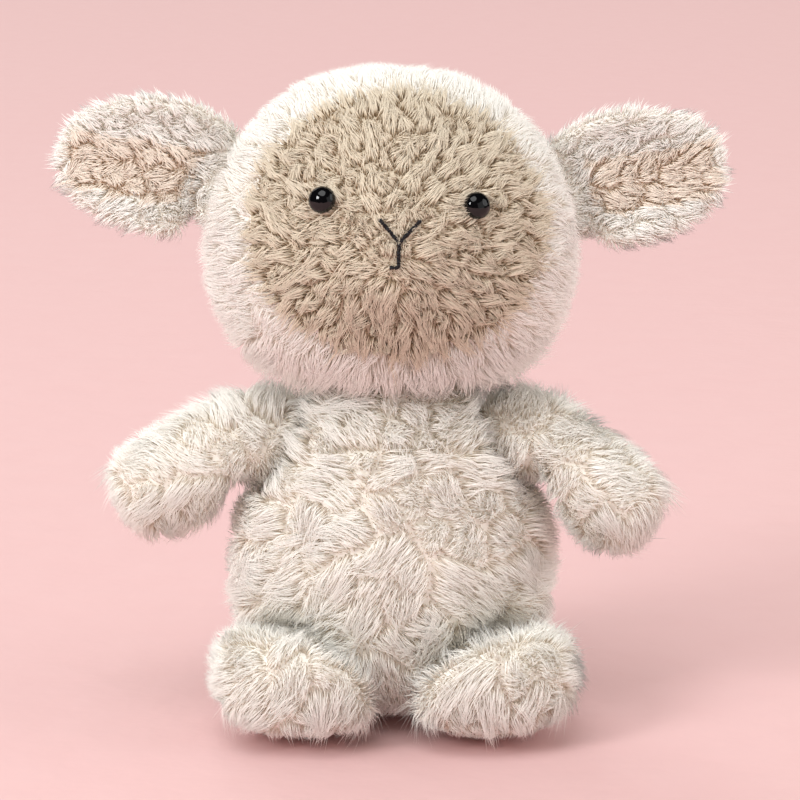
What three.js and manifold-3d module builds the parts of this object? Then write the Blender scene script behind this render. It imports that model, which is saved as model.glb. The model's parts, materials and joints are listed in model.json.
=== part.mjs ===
// Plush lamb, sitting, sewn from long-pile plush panels over a fibre filling.
// Millimetres, +Z up, facing -Y. The origin is the middle of the flat base that the lamb sits on.
// Left and right are the lamb's own, so its left side is +X.
import * as THREE from "three";
import { mergeVertices } from "three/addons/utils/BufferGeometryUtils.js";
import Module from "manifold-3d";

const wasm = await Module();
wasm.setup();

// Clearances
const SEAM_GAP = 0.3; // between pieces that lie face to face
const SWING_CLEARANCE = 0.7; // round the parts of a limb or ear that swing past the body or head
const SWING_STEP = 9; // degrees between the poses at which a swinging piece is cleared
const FLOOR_CUT = 0.5; // how deep a rounded form is cut flat where it rests on the floor

// Plush thickness: knitted backing and standing pile together
const BODY_PLUSH = 8;
const HEAD_PLUSH = 8;
const LIMB_PLUSH = 7;

// Body: a pear form, widest low down, with a domed neck stub on top
const BODY_WIDTH = 101;
const BODY_DEPTH = 82;
const BODY_HEIGHT = 106;
const BODY_TAPER = 0.1;
const BODY_FULLNESS = 0.58;
const BASE_WIDTH = 54; // oval base panel
const BASE_DEPTH = 44;
const NECK_DOME_DIAMETER = 60;
const NECK_PIVOT_DROP = 20; // pivot below the top of the pear form
const NECK_THREAD_DIAMETER = 1.4;
const NECK_SEAM_ANGLE = 48; // from the top of the dome down to the neck seam

// Pellet pouch in the bottom of the body
const POUCH_WIDTH = 50;
const POUCH_DEPTH = 34;
const POUCH_HEIGHT = 22;
const POUCH_SET_BACK = 8;

// Closing seam down the middle of the back
const CLOSING_THREAD_DIAMETER = 1.2;
const CLOSING_RISE = 10; // middle of the seam above the middle of the body
const CLOSING_LENGTH = 32;
const CLOSING_WIDTH = 5;
const CLOSING_CROSSINGS = 8;

// Head: a wide rounded form, fuller at the cheeks, tilted back so that the face looks a little upwards
const HEAD_WIDTH = 115;
const HEAD_DEPTH = 94;
const HEAD_HEIGHT = 99;
const HEAD_TAPER = 0.11;
const HEAD_FULLNESS = 0.8;
const NECK_SINK = 18; // how far the neck dome reaches into the head
const HEAD_FORWARD = 2;
const HEAD_TILT_BACK = 10;
const HEAD_ROLL = 2.5; // rest pose: the left side of the head hangs a little lower
const HEAD_YAW = 2.5; // rest pose: the face looks a little to the lamb's left

// Face: an oval panel of short beige pile
const FACE_WIDTH = 91;
const FACE_HEIGHT = 78;
const FACE_RISE = 3; // middle of the face above the middle of the head
const FACE_FLARE = 0.014; // growth of the face's outline for each millimetre towards the front

// Eyes: domed safety eyes with a stem, held by a washer behind the panel
const EYE_DIAMETER = 8.4;
const EYE_DOME_HEIGHT = 3.6;
const EYE_RIM_HEIGHT = 0.6;
const EYE_SPACING = 45;
const EYE_RISE = 6.6;
const EYE_SINK = 1.8; // how far the dome's flat back lies below the pile's surface
const EYE_STEM_DIAMETER = 3;
const EYE_STEM_PAST_WASHER = 4;
const WASHER_DIAMETER = 11;
const WASHER_THICKNESS = 1.6;
const WASHER_PRESS = 2; // how far the washer presses into the backing

// Nose and mouth: straight stitches of black thread
const FACE_THREAD_DIAMETER = 1.3;
const FACE_THREAD_SINK = 0.2; // how far the thread's middle lies below the pile's surface
const NOSE_WIDTH = 11.5;
const NOSE_TOP_RISE = 1.2; // heights are from the middle of the head
const NOSE_POINT_RISE = -4.5;
const MOUTH_END_RISE = -12.3;
const MOUTH_CORNER_LENGTH = 3;
const STITCH_SPACE = 0.8; // clear space between the ends of two stitches

// Ears: flat cupped leaves of two plush layers, each turned on a rolled root seam
const EAR_LENGTH = 50;
const EAR_WIDTH = 44;
const EAR_THICKNESS = 14;
const EAR_TAPER = 0.12;
const EAR_FULLNESS = 0.72;
const EAR_RISE = 14; // root above the middle of the head
const EAR_SET_BACK = 4;
const EAR_TILT_LEFT = 12; // degrees that each ear rises towards its tip
const EAR_TILT_RIGHT = 6;
const EAR_CUP = 6;
const EAR_ROOT_DIAMETER = 11;
const EAR_ROOT_LENGTH = 22;
const EAR_ROOT_SINK = 1.5;
const EAR_INNER_START = 7; // the ear's leaf starts this far inside its root seam

// Arms: stubby, pointing outwards and down
const ARM_LENGTH = 54;
const ARM_THICKNESS = 38;
const ARM_FULLNESS = 0.5;
const ARM_DROOP_LEFT = 28;
const ARM_DROOP_RIGHT = 22;
const ARM_FORWARD_LEFT = 20;
const ARM_FORWARD_RIGHT = 8;
const ARM_INNER_START = 14; // the arm's form starts this far inside its shoulder pivot
const SHOULDER_DROP = 22; // pivot below the top of the pear form
const SHOULDER_SINK = 6; // pivot below the surface of the body
const SHOULDER_BALL_DIAMETER = 32;

// Legs: big round feet that lie in front of the body
const FOOT_LENGTH = 58;
const FOOT_WIDTH = 56;
const FOOT_HEIGHT = 39;
const FOOT_FULLNESS = 0.62;
const FOOT_SQUARENESS = 0.8;
const FOOT_GAP = 2; // between the two feet
const FOOT_SPLAY = 4;
const FOOT_REACH = 33; // from the hip pivot to the front of the foot
const SOLE_HEIGHT = 5;
const HIP_SINK = 6; // pivot below the surface of the body
const HIP_HEIGHT = 20;
const HIP_BALL_DIAMETER = 27;

// Tail: a short unstuffed tuft low on the back
const TAIL_LENGTH = 18;
const TAIL_WIDTH = 21;
const TAIL_FULLNESS = 0.75;
const TAIL_DROP = 35;
const TAIL_INNER_START = 6;
const TAIL_HEIGHT = 34;
const TAIL_SINK = 3;
const TAIL_BALL_DIAMETER = 13;

// Filling channel through the root ball of each arm and leg, where limb and body are sewn together
const LIMB_CHANNEL_DIAMETER = 13;

// Ranges of the sewn joints, in degrees from the rest pose
const HEAD_NOD = { min: -10, max: 10 };
const HEAD_TURN = { min: -45, max: 45 };
const ARM_SWING = { min: -6, max: 25 };
const LEG_SWING = { min: 0, max: 25 };
const TAIL_SWING = { min: -10, max: 25 };
const EAR_SWING = { min: -25, max: 40 };

// Facets of the soft forms
const FINE = { sides: 20, rings: 12 };
const MEDIUM = { sides: 16, rings: 10 };
const COARSE = { sides: 12, rings: 8 };
const SMALL = { sides: 10, rings: 6 };
const RING_SIDES = 24;
const THREAD_SIDES = 6;
const FAR = 400; // reach of the cutting boxes, past every side of the lamb

const X_AXIS = new THREE.Vector3(1, 0, 0);
const Y_AXIS = new THREE.Vector3(0, 1, 0);
const Z_AXIS = new THREE.Vector3(0, 0, 1);
const radians = THREE.MathUtils.degToRad;

// Materials, with the colours that the toy shows
const cloth = (color) => new THREE.MeshStandardMaterial({ color, roughness: 0.95, metalness: 0 });
const WHITE_PLUSH = cloth(0xf1e9dd);
const FACE_PLUSH = cloth(0xcdbca4);
const LINING_PLUSH = cloth(0xead9c8);
const FILLING = cloth(0xfafafa);
const POUCH_CLOTH = cloth(0xd9d4c8);
const WHITE_THREAD = cloth(0xefe8dc);
const BLACK_THREAD = cloth(0x1a191d);
const EYE_PLASTIC = new THREE.MeshStandardMaterial({ color: 0x08080a, roughness: 0.12, metalness: 0 });
const WASHER_PLASTIC = new THREE.MeshStandardMaterial({ color: 0xe8e8e6, roughness: 0.45, metalness: 0 });

// Turns a closed three.js geometry into a solid that can be cut and joined
function solid(geometry) {
  const bare = new THREE.BufferGeometry();
  bare.setAttribute("position", geometry.attributes.position);
  bare.setIndex(geometry.index);
  const merged = mergeVertices(bare);
  const vertProperties = Float32Array.from(merged.attributes.position.array);
  const triVerts = Uint32Array.from(merged.index.array);
  return new wasm.Manifold(new wasm.Mesh({ numProp: 3, vertProperties, triVerts }));
}

// A solid as a named mesh of the scene
function piece(name, body, material) {
  const { vertProperties, triVerts } = body.getMesh();
  const geometry = new THREE.BufferGeometry();
  geometry.setAttribute("position", new THREE.BufferAttribute(vertProperties, 3));
  geometry.setIndex(new THREE.BufferAttribute(triVerts, 1));
  geometry.computeVertexNormals();
  const mesh = new THREE.Mesh(geometry, material);
  mesh.name = name;
  return mesh;
}

const placed = (body, matrix) => body.transform(matrix.elements);

// The largest of the bodies that a cut leaves, without its slivers
function largest(body) {
  const parts = body.decompose();
  return parts.reduce((a, b) => (a.volume() > b.volume() ? a : b));
}

// A box between two corners, for cutting along planes
function box(low, high) {
  const size = high.map((value, i) => value - low[i]);
  const geometry = new THREE.BoxGeometry(...size);
  geometry.translate(...low.map((value, i) => value + size[i] / 2));
  return solid(geometry);
}

// How much larger a faceted ball is made so that its facets, not only its corners, reach its radius
function facetReach({ sides, rings }) {
  return 1 / (Math.cos(Math.PI / sides) * Math.cos(Math.PI / (2 * rings)));
}

const ball = (radius) => solid(new THREE.SphereGeometry(radius, COARSE.sides, COARSE.rings));

// Room for a ball that turns in it; at rest the ball's corners point at the middles of the room's facets
function socketGeometry(radius, { sides, rings }) {
  const facets = { sides, rings: rings - 1 };
  const reach = (radius + SEAM_GAP) * facetReach(facets);
  return new THREE.SphereGeometry(reach, facets.sides, facets.rings).rotateY(Math.PI / sides);
}

const socketFor = (radius) => solid(socketGeometry(radius, COARSE));

// A round bar along Z between two heights, oval if its two widths differ
function bar(width, depth, from, to, sides = MEDIUM.sides) {
  const geometry = new THREE.CylinderGeometry(1, 1, to - from, sides);
  geometry.rotateX(Math.PI / 2);
  geometry.scale(width / 2, depth / 2, 1);
  geometry.translate(0, 0, (from + to) / 2);
  return solid(geometry);
}

// A round thread along a curve
function thread(points, diameter, steps) {
  const section = new THREE.Shape();
  section.absarc(0, 0, diameter / 2, 0, 2 * Math.PI);
  const path = new THREE.CatmullRomCurve3(points);
  const curveSegments = THREAD_SIDES / 2;
  return solid(new THREE.ExtrudeGeometry(section, { extrudePath: path, steps, curveSegments }));
}

// A stuffed form with its ends on Z: a sphere drawn out to its size, fuller in section, wider at one end
class StuffedForm {
  constructor(width, depth, height, fullness, taper = 0, squareness = 1) {
    this.half = new THREE.Vector3(width / 2, depth / 2, height / 2);
    this.fullness = fullness;
    this.taper = taper;
    this.squareness = squareness; // 1 is an oval section, less is nearer to a rectangle
  }

  // Share of the full half width and half depth at a height, both from the form's middle
  swell(height) {
    const z = height / this.half.z;
    return (1 - z * z) ** (this.fullness / 2) * (1 - this.taper * z);
  }

  halfWidthAt(height) {
    return this.half.x * this.swell(height);
  }

  // Whether a point lies inside the form
  holds({ x, y, z }) {
    return Math.abs(z) < this.half.z && Math.hypot(x / this.half.x, y / this.half.y) < this.swell(z);
  }

  // Distance from the middle plane to the surface, towards the front or the back alike
  halfDepthAt(x, height) {
    return this.half.y * Math.sqrt(this.swell(height) ** 2 - (x / this.half.x) ** 2);
  }

  // Direction out of the front surface at a place on it
  frontNormalAt(x, height) {
    const step = 0.01;
    const slopeX = this.halfDepthAt(x + step, height) - this.halfDepthAt(x - step, height);
    const slopeZ = this.halfDepthAt(x, height + step) - this.halfDepthAt(x, height - step);
    return new THREE.Vector3(-slopeX, -2 * step, -slopeZ).normalize();
  }

  // The form as a geometry, its surface moved out by a distance; bend moves each point afterwards
  geometry(facets, grow = 0, bend = () => {}) {
    const geometry = new THREE.SphereGeometry(1, facets.sides, facets.rings);
    geometry.rotateX(Math.PI / 2);
    const position = geometry.attributes.position;
    const point = new THREE.Vector3();
    for (let i = 0; i < position.count; i++) {
      point.fromBufferAttribute(position, i);
      const ring = Math.max(Math.hypot(point.x, point.y), 1e-9);
      const wide = ring ** this.fullness * (1 - this.taper * point.z);
      const across = (value) => Math.sign(value) * Math.abs(value / ring) ** this.squareness;
      point.x = across(point.x) * wide * (this.half.x + grow);
      point.y = across(point.y) * wide * (this.half.y + grow);
      point.z *= this.half.z + grow;
      bend(point);
      position.setXYZ(i, point.x, point.y, point.z);
    }
    return geometry;
  }

  solid(facets, grow, bend) {
    return solid(this.geometry(facets, grow, bend));
  }

  // The room that a piece swinging past the form stays out of
  obstacle() {
    const reach = facetReach(MEDIUM);
    return solid(this.geometry(MEDIUM, SWING_CLEARANCE).scale(reach, reach, reach));
  }
}

const moved = (x, y, z) => new THREE.Matrix4().makeTranslation(x, y, z);

// A turn about an axis through a point
function turnAbout(point, axis, degrees) {
  const turn = new THREE.Matrix4().makeRotationAxis(axis, radians(degrees));
  return moved(point.x, point.y, point.z).multiply(turn).multiply(moved(-point.x, -point.y, -point.z));
}

// A frame at a point, with its Z along a direction and its Y as near as it can be to another
function frameAt(point, along, towards) {
  const z = along.clone().normalize();
  const x = towards.clone().cross(z).normalize();
  const y = z.clone().cross(x);
  return new THREE.Matrix4().makeBasis(x, y, z).setPosition(point);
}

// Cuts a swinging solid, given in its own frame, clear of what it hangs on, over its whole range
function clearOverSwing(swinging, frame, hinge, obstacle) {
  const steps = Math.ceil((hinge.max - hinge.min) / SWING_STEP);
  const inward = frame.clone().invert();
  let clear = swinging;
  for (let i = 0; i <= steps; i++) {
    const degrees = hinge.min + ((hinge.max - hinge.min) * i) / steps;
    const turned = inward.clone().multiply(turnAbout(hinge.pivot, hinge.axis, -degrees));
    clear = clear.subtract(placed(obstacle, turned));
  }
  return largest(clear);
}

// A group that stands in a frame and carries its hinge
function hingedGroup(name, frame, hinge) {
  const group = new THREE.Group();
  group.name = name;
  group.applyMatrix4(frame);
  group.userData.hinge = hinge;
  return group;
}

// Body and neck
const pearHeight = BODY_HEIGHT + FLOOR_CUT;
const bodyForm = new StuffedForm(BODY_WIDTH, BODY_DEPTH, pearHeight, BODY_FULLNESS, BODY_TAPER);
const bodyMiddle = (BODY_HEIGHT - FLOOR_CUT) / 2;
const bodyPlace = moved(0, 0, bodyMiddle);
const neckHeight = BODY_HEIGHT - NECK_PIVOT_DROP;
const neckPivot = new THREE.Vector3(0, 0, neckHeight);
const neckPlace = moved(0, 0, neckHeight);
const underFloor = box([-FAR, -FAR, -FAR], [FAR, FAR, 0]);
const bodyObstacle = placed(bodyForm.obstacle(), bodyPlace);

// A round geometry about the neck pivot, in the lamb's frame
const aboutNeck = (geometry) => placed(solid(geometry.rotateX(Math.PI / 2)), neckPlace);

function neckBall(radius, facets) {
  return aboutNeck(new THREE.SphereGeometry(radius, facets.sides, facets.rings));
}

const neckRadius = NECK_DOME_DIAMETER / 2;
const neckDome = neckBall(neckRadius, MEDIUM);
const neckSocket = aboutNeck(socketGeometry(neckRadius, MEDIUM));

// The thread ring of the neck seam, just under the dome's surface
const ringReach = neckRadius - NECK_THREAD_DIAMETER / 2 - 2 * SEAM_GAP;
const ringRadius = ringReach * Math.sin(radians(NECK_SEAM_ANGLE));

function neckRing() {
  const rise = ringReach * Math.cos(radians(NECK_SEAM_ANGLE));
  const geometry = new THREE.TorusGeometry(ringRadius, NECK_THREAD_DIAMETER / 2, THREAD_SIDES, RING_SIDES);
  return placed(solid(geometry.translate(0, 0, rise)), neckPlace);
}

// The groove that the ring turns in, open to the surface of the dome
function neckGroove() {
  const facetSag = ringRadius * (1 - Math.cos(Math.PI / RING_SIDES));
  const half = NECK_THREAD_DIAMETER / 2 + SEAM_GAP + facetSag;
  const inner = ringReach - half;
  const outer = neckRadius + half;
  const corners = [[inner, -half], [outer, -half], [outer, half], [inner, half], [inner, -half]];
  const turn = radians(90 - NECK_SEAM_ANGLE);
  const middle = new THREE.Vector2(0, 0);
  const profile = corners.map((corner) => new THREE.Vector2(...corner).rotateAround(middle, turn));
  return aboutNeck(new THREE.LatheGeometry(profile, RING_SIDES));
}

// The head's form and place, here because the body is cut clear of it
const headForm = new StuffedForm(HEAD_WIDTH, HEAD_DEPTH, HEAD_HEIGHT, HEAD_FULLNESS, HEAD_TAPER);
const headMiddle = neckHeight + neckRadius - NECK_SINK + HEAD_HEIGHT / 2;
const headFrame = moved(0, -HEAD_FORWARD, headMiddle)
  .multiply(new THREE.Matrix4().makeRotationZ(radians(HEAD_YAW)))
  .multiply(new THREE.Matrix4().makeRotationY(radians(HEAD_ROLL)))
  .multiply(new THREE.Matrix4().makeRotationX(radians(-HEAD_TILT_BACK)));
const headInward = headFrame.clone().invert();
const headObstacle = headForm.obstacle();

// Height of the body's shoulder shelf: under the lowest place that the head's neck edge reaches in a nod
function shelfHeight() {
  const edges = [];
  for (let turn = 0; turn < 360; turn += 15) {
    let rise = 90;
    const point = new THREE.Vector3();
    do {
      rise -= 1;
      point.setFromSphericalCoords(neckRadius, radians(90 - rise), radians(turn));
      point.set(point.x, point.z, point.y + neckHeight).applyMatrix4(headInward);
    } while (rise > 0 && headForm.holds(point));
    edges.push(rise);
  }
  const lowest = Math.min(...edges) - Math.max(HEAD_NOD.max, -HEAD_NOD.min);
  return neckHeight + neckRadius * Math.sin(radians(lowest)) - SWING_CLEARANCE;
}

// A limb's cover and its filling, which reaches the body through a channel in the root ball
function stuffedLimb(limb, form, middle) {
  const channel = (width) => bar(width, width, -FAR, 0, SMALL.sides);
  const inside = placed(form.solid(SMALL, -LIMB_PLUSH), middle).add(channel(LIMB_CHANNEL_DIAMETER));
  const core = placed(form.solid(SMALL, -LIMB_PLUSH - SEAM_GAP), middle);
  const filling = core.add(channel(LIMB_CHANNEL_DIAMETER - 2 * SEAM_GAP)).intersect(limb);
  return { cover: limb.subtract(inside), filling: largest(filling) };
}

// Arms
function armParts(side, name, droop, forwardDegrees) {
  const shoulderHeight = BODY_HEIGHT - SHOULDER_DROP;
  const pivotX = bodyForm.halfWidthAt(shoulderHeight - bodyMiddle) - SHOULDER_SINK;
  const pivot = new THREE.Vector3(side * pivotX, 0, shoulderHeight);
  const level = Math.cos(radians(droop));
  const forward = radians(forwardDegrees);
  const drop = -Math.sin(radians(droop));
  const along = new THREE.Vector3(side * level * Math.cos(forward), -level * Math.sin(forward), drop);
  const hinge = { pivot, axis: new THREE.Vector3(0, -side, 0), ...ARM_SWING };
  const frame = frameAt(pivot, along, Y_AXIS);
  const length = ARM_LENGTH + ARM_INNER_START;
  const form = new StuffedForm(ARM_THICKNESS, ARM_THICKNESS, length, ARM_FULLNESS);
  const middle = moved(0, 0, length / 2 - ARM_INNER_START);
  const radius = SHOULDER_BALL_DIAMETER / 2;
  const leaf = placed(form.solid(COARSE), middle);
  const limb = clearOverSwing(leaf, frame, hinge, bodyObstacle).add(ball(radius));
  const { cover, filling } = stuffedLimb(limb, form, middle);
  const front = largest(cover.subtract(box([-FAR, -SEAM_GAP / 2, -FAR], [FAR, FAR, FAR])));
  const back = largest(cover.subtract(box([-FAR, -FAR, -FAR], [FAR, SEAM_GAP / 2, FAR])));
  const group = hingedGroup(name, frame, hinge);
  group.add(piece(`${name}_front`, front, WHITE_PLUSH));
  group.add(piece(`${name}_back`, back, WHITE_PLUSH));
  group.add(piece(`${name}_stuffing`, filling, FILLING));
  return { group, socket: placed(socketFor(radius), frame) };
}

// Legs
function legParts(side, name) {
  const hipX = (FOOT_WIDTH + FOOT_GAP) / 2;
  const hipDepth = bodyForm.halfDepthAt(hipX, HIP_HEIGHT - bodyMiddle) - HIP_SINK;
  const pivot = new THREE.Vector3(side * hipX, -hipDepth, HIP_HEIGHT);
  const splay = radians(FOOT_SPLAY);
  const along = new THREE.Vector3(side * Math.sin(splay), -Math.cos(splay), 0);
  const hinge = { pivot, axis: X_AXIS.clone().negate(), ...LEG_SWING };
  const frame = frameAt(pivot, along, Z_AXIS);
  const height = FOOT_HEIGHT + FLOOR_CUT;
  const form = new StuffedForm(FOOT_WIDTH, height, FOOT_LENGTH, FOOT_FULLNESS, 0, FOOT_SQUARENESS);
  const middle = moved(0, (FOOT_HEIGHT - FLOOR_CUT) / 2 - HIP_HEIGHT, FOOT_REACH - FOOT_LENGTH / 2);
  const radius = HIP_BALL_DIAMETER / 2;
  const floor = placed(underFloor, frame.clone().invert());
  const raw = placed(form.solid(MEDIUM), middle).subtract(floor);
  const limb = clearOverSwing(raw, frame, hinge, bodyObstacle).add(ball(radius));
  const { cover, filling } = stuffedLimb(limb, form, middle);
  const seam = SOLE_HEIGHT - HIP_HEIGHT;
  const upper = largest(cover.subtract(box([-FAR, -FAR, -FAR], [FAR, seam + SEAM_GAP / 2, FAR])));
  const sole = largest(cover.subtract(box([-FAR, seam - SEAM_GAP / 2, -FAR], [FAR, FAR, FAR])));
  const group = hingedGroup(name, frame, hinge);
  group.add(piece(`${name}_upper`, upper, WHITE_PLUSH));
  group.add(piece(`${name}_sole`, sole, WHITE_PLUSH));
  group.add(piece(`${name}_stuffing`, filling, FILLING));
  return { group, socket: placed(socketFor(radius), frame) };
}

// Tail
function tailParts() {
  const pivotY = bodyForm.halfDepthAt(0, TAIL_HEIGHT - bodyMiddle) - TAIL_SINK;
  const pivot = new THREE.Vector3(0, pivotY, TAIL_HEIGHT);
  const along = new THREE.Vector3(0, Math.cos(radians(TAIL_DROP)), -Math.sin(radians(TAIL_DROP)));
  const hinge = { pivot, axis: X_AXIS.clone(), ...TAIL_SWING };
  const frame = frameAt(pivot, along, Z_AXIS);
  const length = TAIL_LENGTH + TAIL_INNER_START;
  const form = new StuffedForm(TAIL_WIDTH, TAIL_WIDTH, length, TAIL_FULLNESS);
  const middle = moved(0, 0, length / 2 - TAIL_INNER_START);
  const radius = TAIL_BALL_DIAMETER / 2;
  const raw = placed(form.solid(COARSE), middle);
  const tuft = clearOverSwing(raw, frame, hinge, bodyObstacle).add(ball(radius));
  const group = hingedGroup("tail_hinge", frame, hinge);
  group.add(piece("tail", tuft, WHITE_PLUSH));
  return { group, socket: placed(socketFor(radius), frame) };
}

// Ladder stitch across the back seam
function closingStitch(diameter) {
  const points = [];
  for (let i = 0; i <= CLOSING_CROSSINGS; i++) {
    const x = ((i % 2) - 0.5) * CLOSING_WIDTH;
    const rise = CLOSING_RISE + (i / CLOSING_CROSSINGS - 0.5) * CLOSING_LENGTH;
    points.push(new THREE.Vector3(x, bodyForm.halfDepthAt(x, rise), bodyMiddle + rise));
  }
  return thread(points, diameter, CLOSING_CROSSINGS * 3);
}

// The body's panels, filling and pouch, cut for the limbs' root balls and the neck seam
function bodyParts(sockets) {
  const overShelf = box([-FAR, -FAR, shelfHeight()], [FAR, FAR, FAR]);
  const pear = placed(bodyForm.solid(FINE), bodyPlace).subtract(underFloor).subtract(overShelf);
  const outer = pear.add(neckDome);
  const carve = (body) => sockets.reduce((left, socket) => left.subtract(socket), body);
  const whole = carve(outer).subtract(neckGroove());
  const inner = (depth) => {
    const neck = neckBall(neckRadius - depth, COARSE);
    const shelf = placed(overShelf, moved(0, 0, -depth));
    return placed(bodyForm.solid(COARSE, -depth), bodyPlace).subtract(shelf).add(neck);
  };
  const core = inner(BODY_PLUSH + SEAM_GAP);
  const stitchRoom = closingStitch(CLOSING_THREAD_DIAMETER + 2 * SEAM_GAP);
  // The neck end of the cover stays open, as wide as the filling that comes through it
  const mouth = (width) => bar(width, width, neckHeight, FAR, COARSE.sides);
  const mouthWidth = neckRadius;
  const cover = whole.subtract(inner(BODY_PLUSH)).subtract(mouth(mouthWidth)).subtract(stitchRoom);
  const baseBar = (grow) => bar(BASE_WIDTH + grow, BASE_DEPTH + grow, -FAR, bodyMiddle / 2);
  const sides = cover.subtract(baseBar(2 * SEAM_GAP));
  const half = SEAM_GAP / 2;
  const front = sides.subtract(box([-FAR, -half, -FAR], [FAR, FAR, FAR]));
  const back = sides.subtract(box([-FAR, -FAR, -FAR], [FAR, half, FAR]));
  const backLeft = back.subtract(box([-FAR, -FAR, -FAR], [half, FAR, FAR]));
  const backRight = back.subtract(box([-half, -FAR, -FAR], [FAR, FAR, FAR]));
  const pouchForm = new StuffedForm(POUCH_WIDTH, POUCH_DEPTH, POUCH_HEIGHT, BODY_FULLNESS);
  const pouchPlace = moved(0, POUCH_SET_BACK, BODY_PLUSH + SEAM_GAP + POUCH_HEIGHT / 2);
  const pouch = carve(placed(pouchForm.solid(COARSE), pouchPlace).intersect(core));
  const pouchRoom = placed(pouchForm.solid(COARSE, SEAM_GAP), pouchPlace);
  const pouchDrop = bar(POUCH_WIDTH, POUCH_DEPTH, -POUCH_HEIGHT, 0, COARSE.sides);
  const pouchWell = placed(pouchDrop, pouchPlace);
  const throat = mouth(mouthWidth - 2 * SEAM_GAP).intersect(neckDome);
  const filling = carve(core).add(throat).subtract(neckGroove()).subtract(pouchRoom).subtract(pouchWell);
  return [
    piece("body_front", largest(front), WHITE_PLUSH),
    piece("body_back_left", largest(backLeft), WHITE_PLUSH),
    piece("body_back_right", largest(backRight), WHITE_PLUSH),
    piece("body_base", largest(cover.intersect(baseBar(0))), WHITE_PLUSH),
    piece("body_stuffing", largest(filling), FILLING),
    piece("pellet_pouch", largest(pouch), POUCH_CLOTH),
    piece("closing_stitch", closingStitch(CLOSING_THREAD_DIAMETER), WHITE_THREAD),
  ];
}

// A place on the front of the head, at a distance below its surface
function onFace(x, height, sink) {
  const surface = new THREE.Vector3(x, -headForm.halfDepthAt(x, height), height);
  return surface.addScaledVector(headForm.frontNormalAt(x, height), -sink);
}

// A straight stitch between two places on the face
function faceStitch(from, to, diameter) {
  const points = [0, 0.5, 1].map((share) => {
    const x = THREE.MathUtils.lerp(from[0], to[0], share);
    const z = THREE.MathUtils.lerp(from[1], to[1], share);
    return onFace(x, z, FACE_THREAD_SINK);
  });
  return thread(points, diameter, 4);
}

const noseTop = NOSE_WIDTH / 2;
const stitchClear = (FACE_THREAD_DIAMETER + STITCH_SPACE) / 2;
const mouthTop = NOSE_POINT_RISE - 2 * stitchClear;
const cornerStart = -2 * stitchClear;
const cornerEnd = cornerStart - MOUTH_CORNER_LENGTH;
const FACE_STITCHES = [
  ["nose_stitch_left", [noseTop, NOSE_TOP_RISE], [stitchClear, NOSE_POINT_RISE]],
  ["nose_stitch_right", [-noseTop, NOSE_TOP_RISE], [-stitchClear, NOSE_POINT_RISE]],
  ["mouth_stitch", [0, mouthTop], [0, MOUTH_END_RISE]],
  ["mouth_corner_stitch", [cornerStart, MOUTH_END_RISE], [cornerEnd, MOUTH_END_RISE]],
];

// Eyes, in the head's frame, with Z along the stem towards the front
const washerSeat = HEAD_PLUSH - EYE_SINK - WASHER_PRESS; // from the dome's flat back to the backing's seat
const washerStart = washerSeat + SEAM_GAP;
const eyeStemLength = washerStart + WASHER_THICKNESS + EYE_STEM_PAST_WASHER;

function eyeFrame(side) {
  const x = (side * EYE_SPACING) / 2;
  return frameAt(onFace(x, EYE_RISE, EYE_SINK), headForm.frontNormalAt(x, EYE_RISE), Z_AXIS);
}

function eyeSolid() {
  const stem = EYE_STEM_DIAMETER / 2;
  const rim = EYE_DIAMETER / 2;
  const profile = [
    [0, -eyeStemLength],
    [stem / 2, -eyeStemLength],
    [stem, -eyeStemLength + stem],
    [stem, 0],
    [rim, 0],
    [rim, EYE_RIM_HEIGHT],
  ];
  const arcSteps = 5;
  for (let i = 1; i <= arcSteps; i++) {
    const angle = (i / arcSteps) * (Math.PI / 2);
    const crown = EYE_DOME_HEIGHT - EYE_RIM_HEIGHT;
    profile.push([i < arcSteps ? rim * Math.cos(angle) : 0, EYE_RIM_HEIGHT + crown * Math.sin(angle)]);
  }
  const points = profile.map(([radius, height]) => new THREE.Vector2(radius, height));
  return solid(new THREE.LatheGeometry(points, SMALL.sides).rotateX(Math.PI / 2));
}

function washerSolid() {
  const back = -washerStart - WASHER_THICKNESS;
  const disc = bar(WASHER_DIAMETER, WASHER_DIAMETER, back, -washerStart, SMALL.sides);
  const hole = EYE_STEM_DIAMETER + 2 * SEAM_GAP;
  return disc.subtract(bar(hole, hole, -FAR, FAR, SMALL.sides));
}

// Room for an eye and its washer in panel and filling: dome seat, stem hole, washer seat and stem end
function eyeRoom() {
  const round = (width, from, to) => bar(width + 2 * SEAM_GAP, width + 2 * SEAM_GAP, from, to, SMALL.sides);
  const dome = round(EYE_DIAMETER, -SEAM_GAP, HEAD_PLUSH);
  const stem = round(EYE_STEM_DIAMETER, -eyeStemLength - SEAM_GAP, 0);
  const washer = round(WASHER_DIAMETER, -washerStart - WASHER_THICKNESS - SEAM_GAP, -washerSeat);
  return dome.add(stem).add(washer);
}

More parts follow.
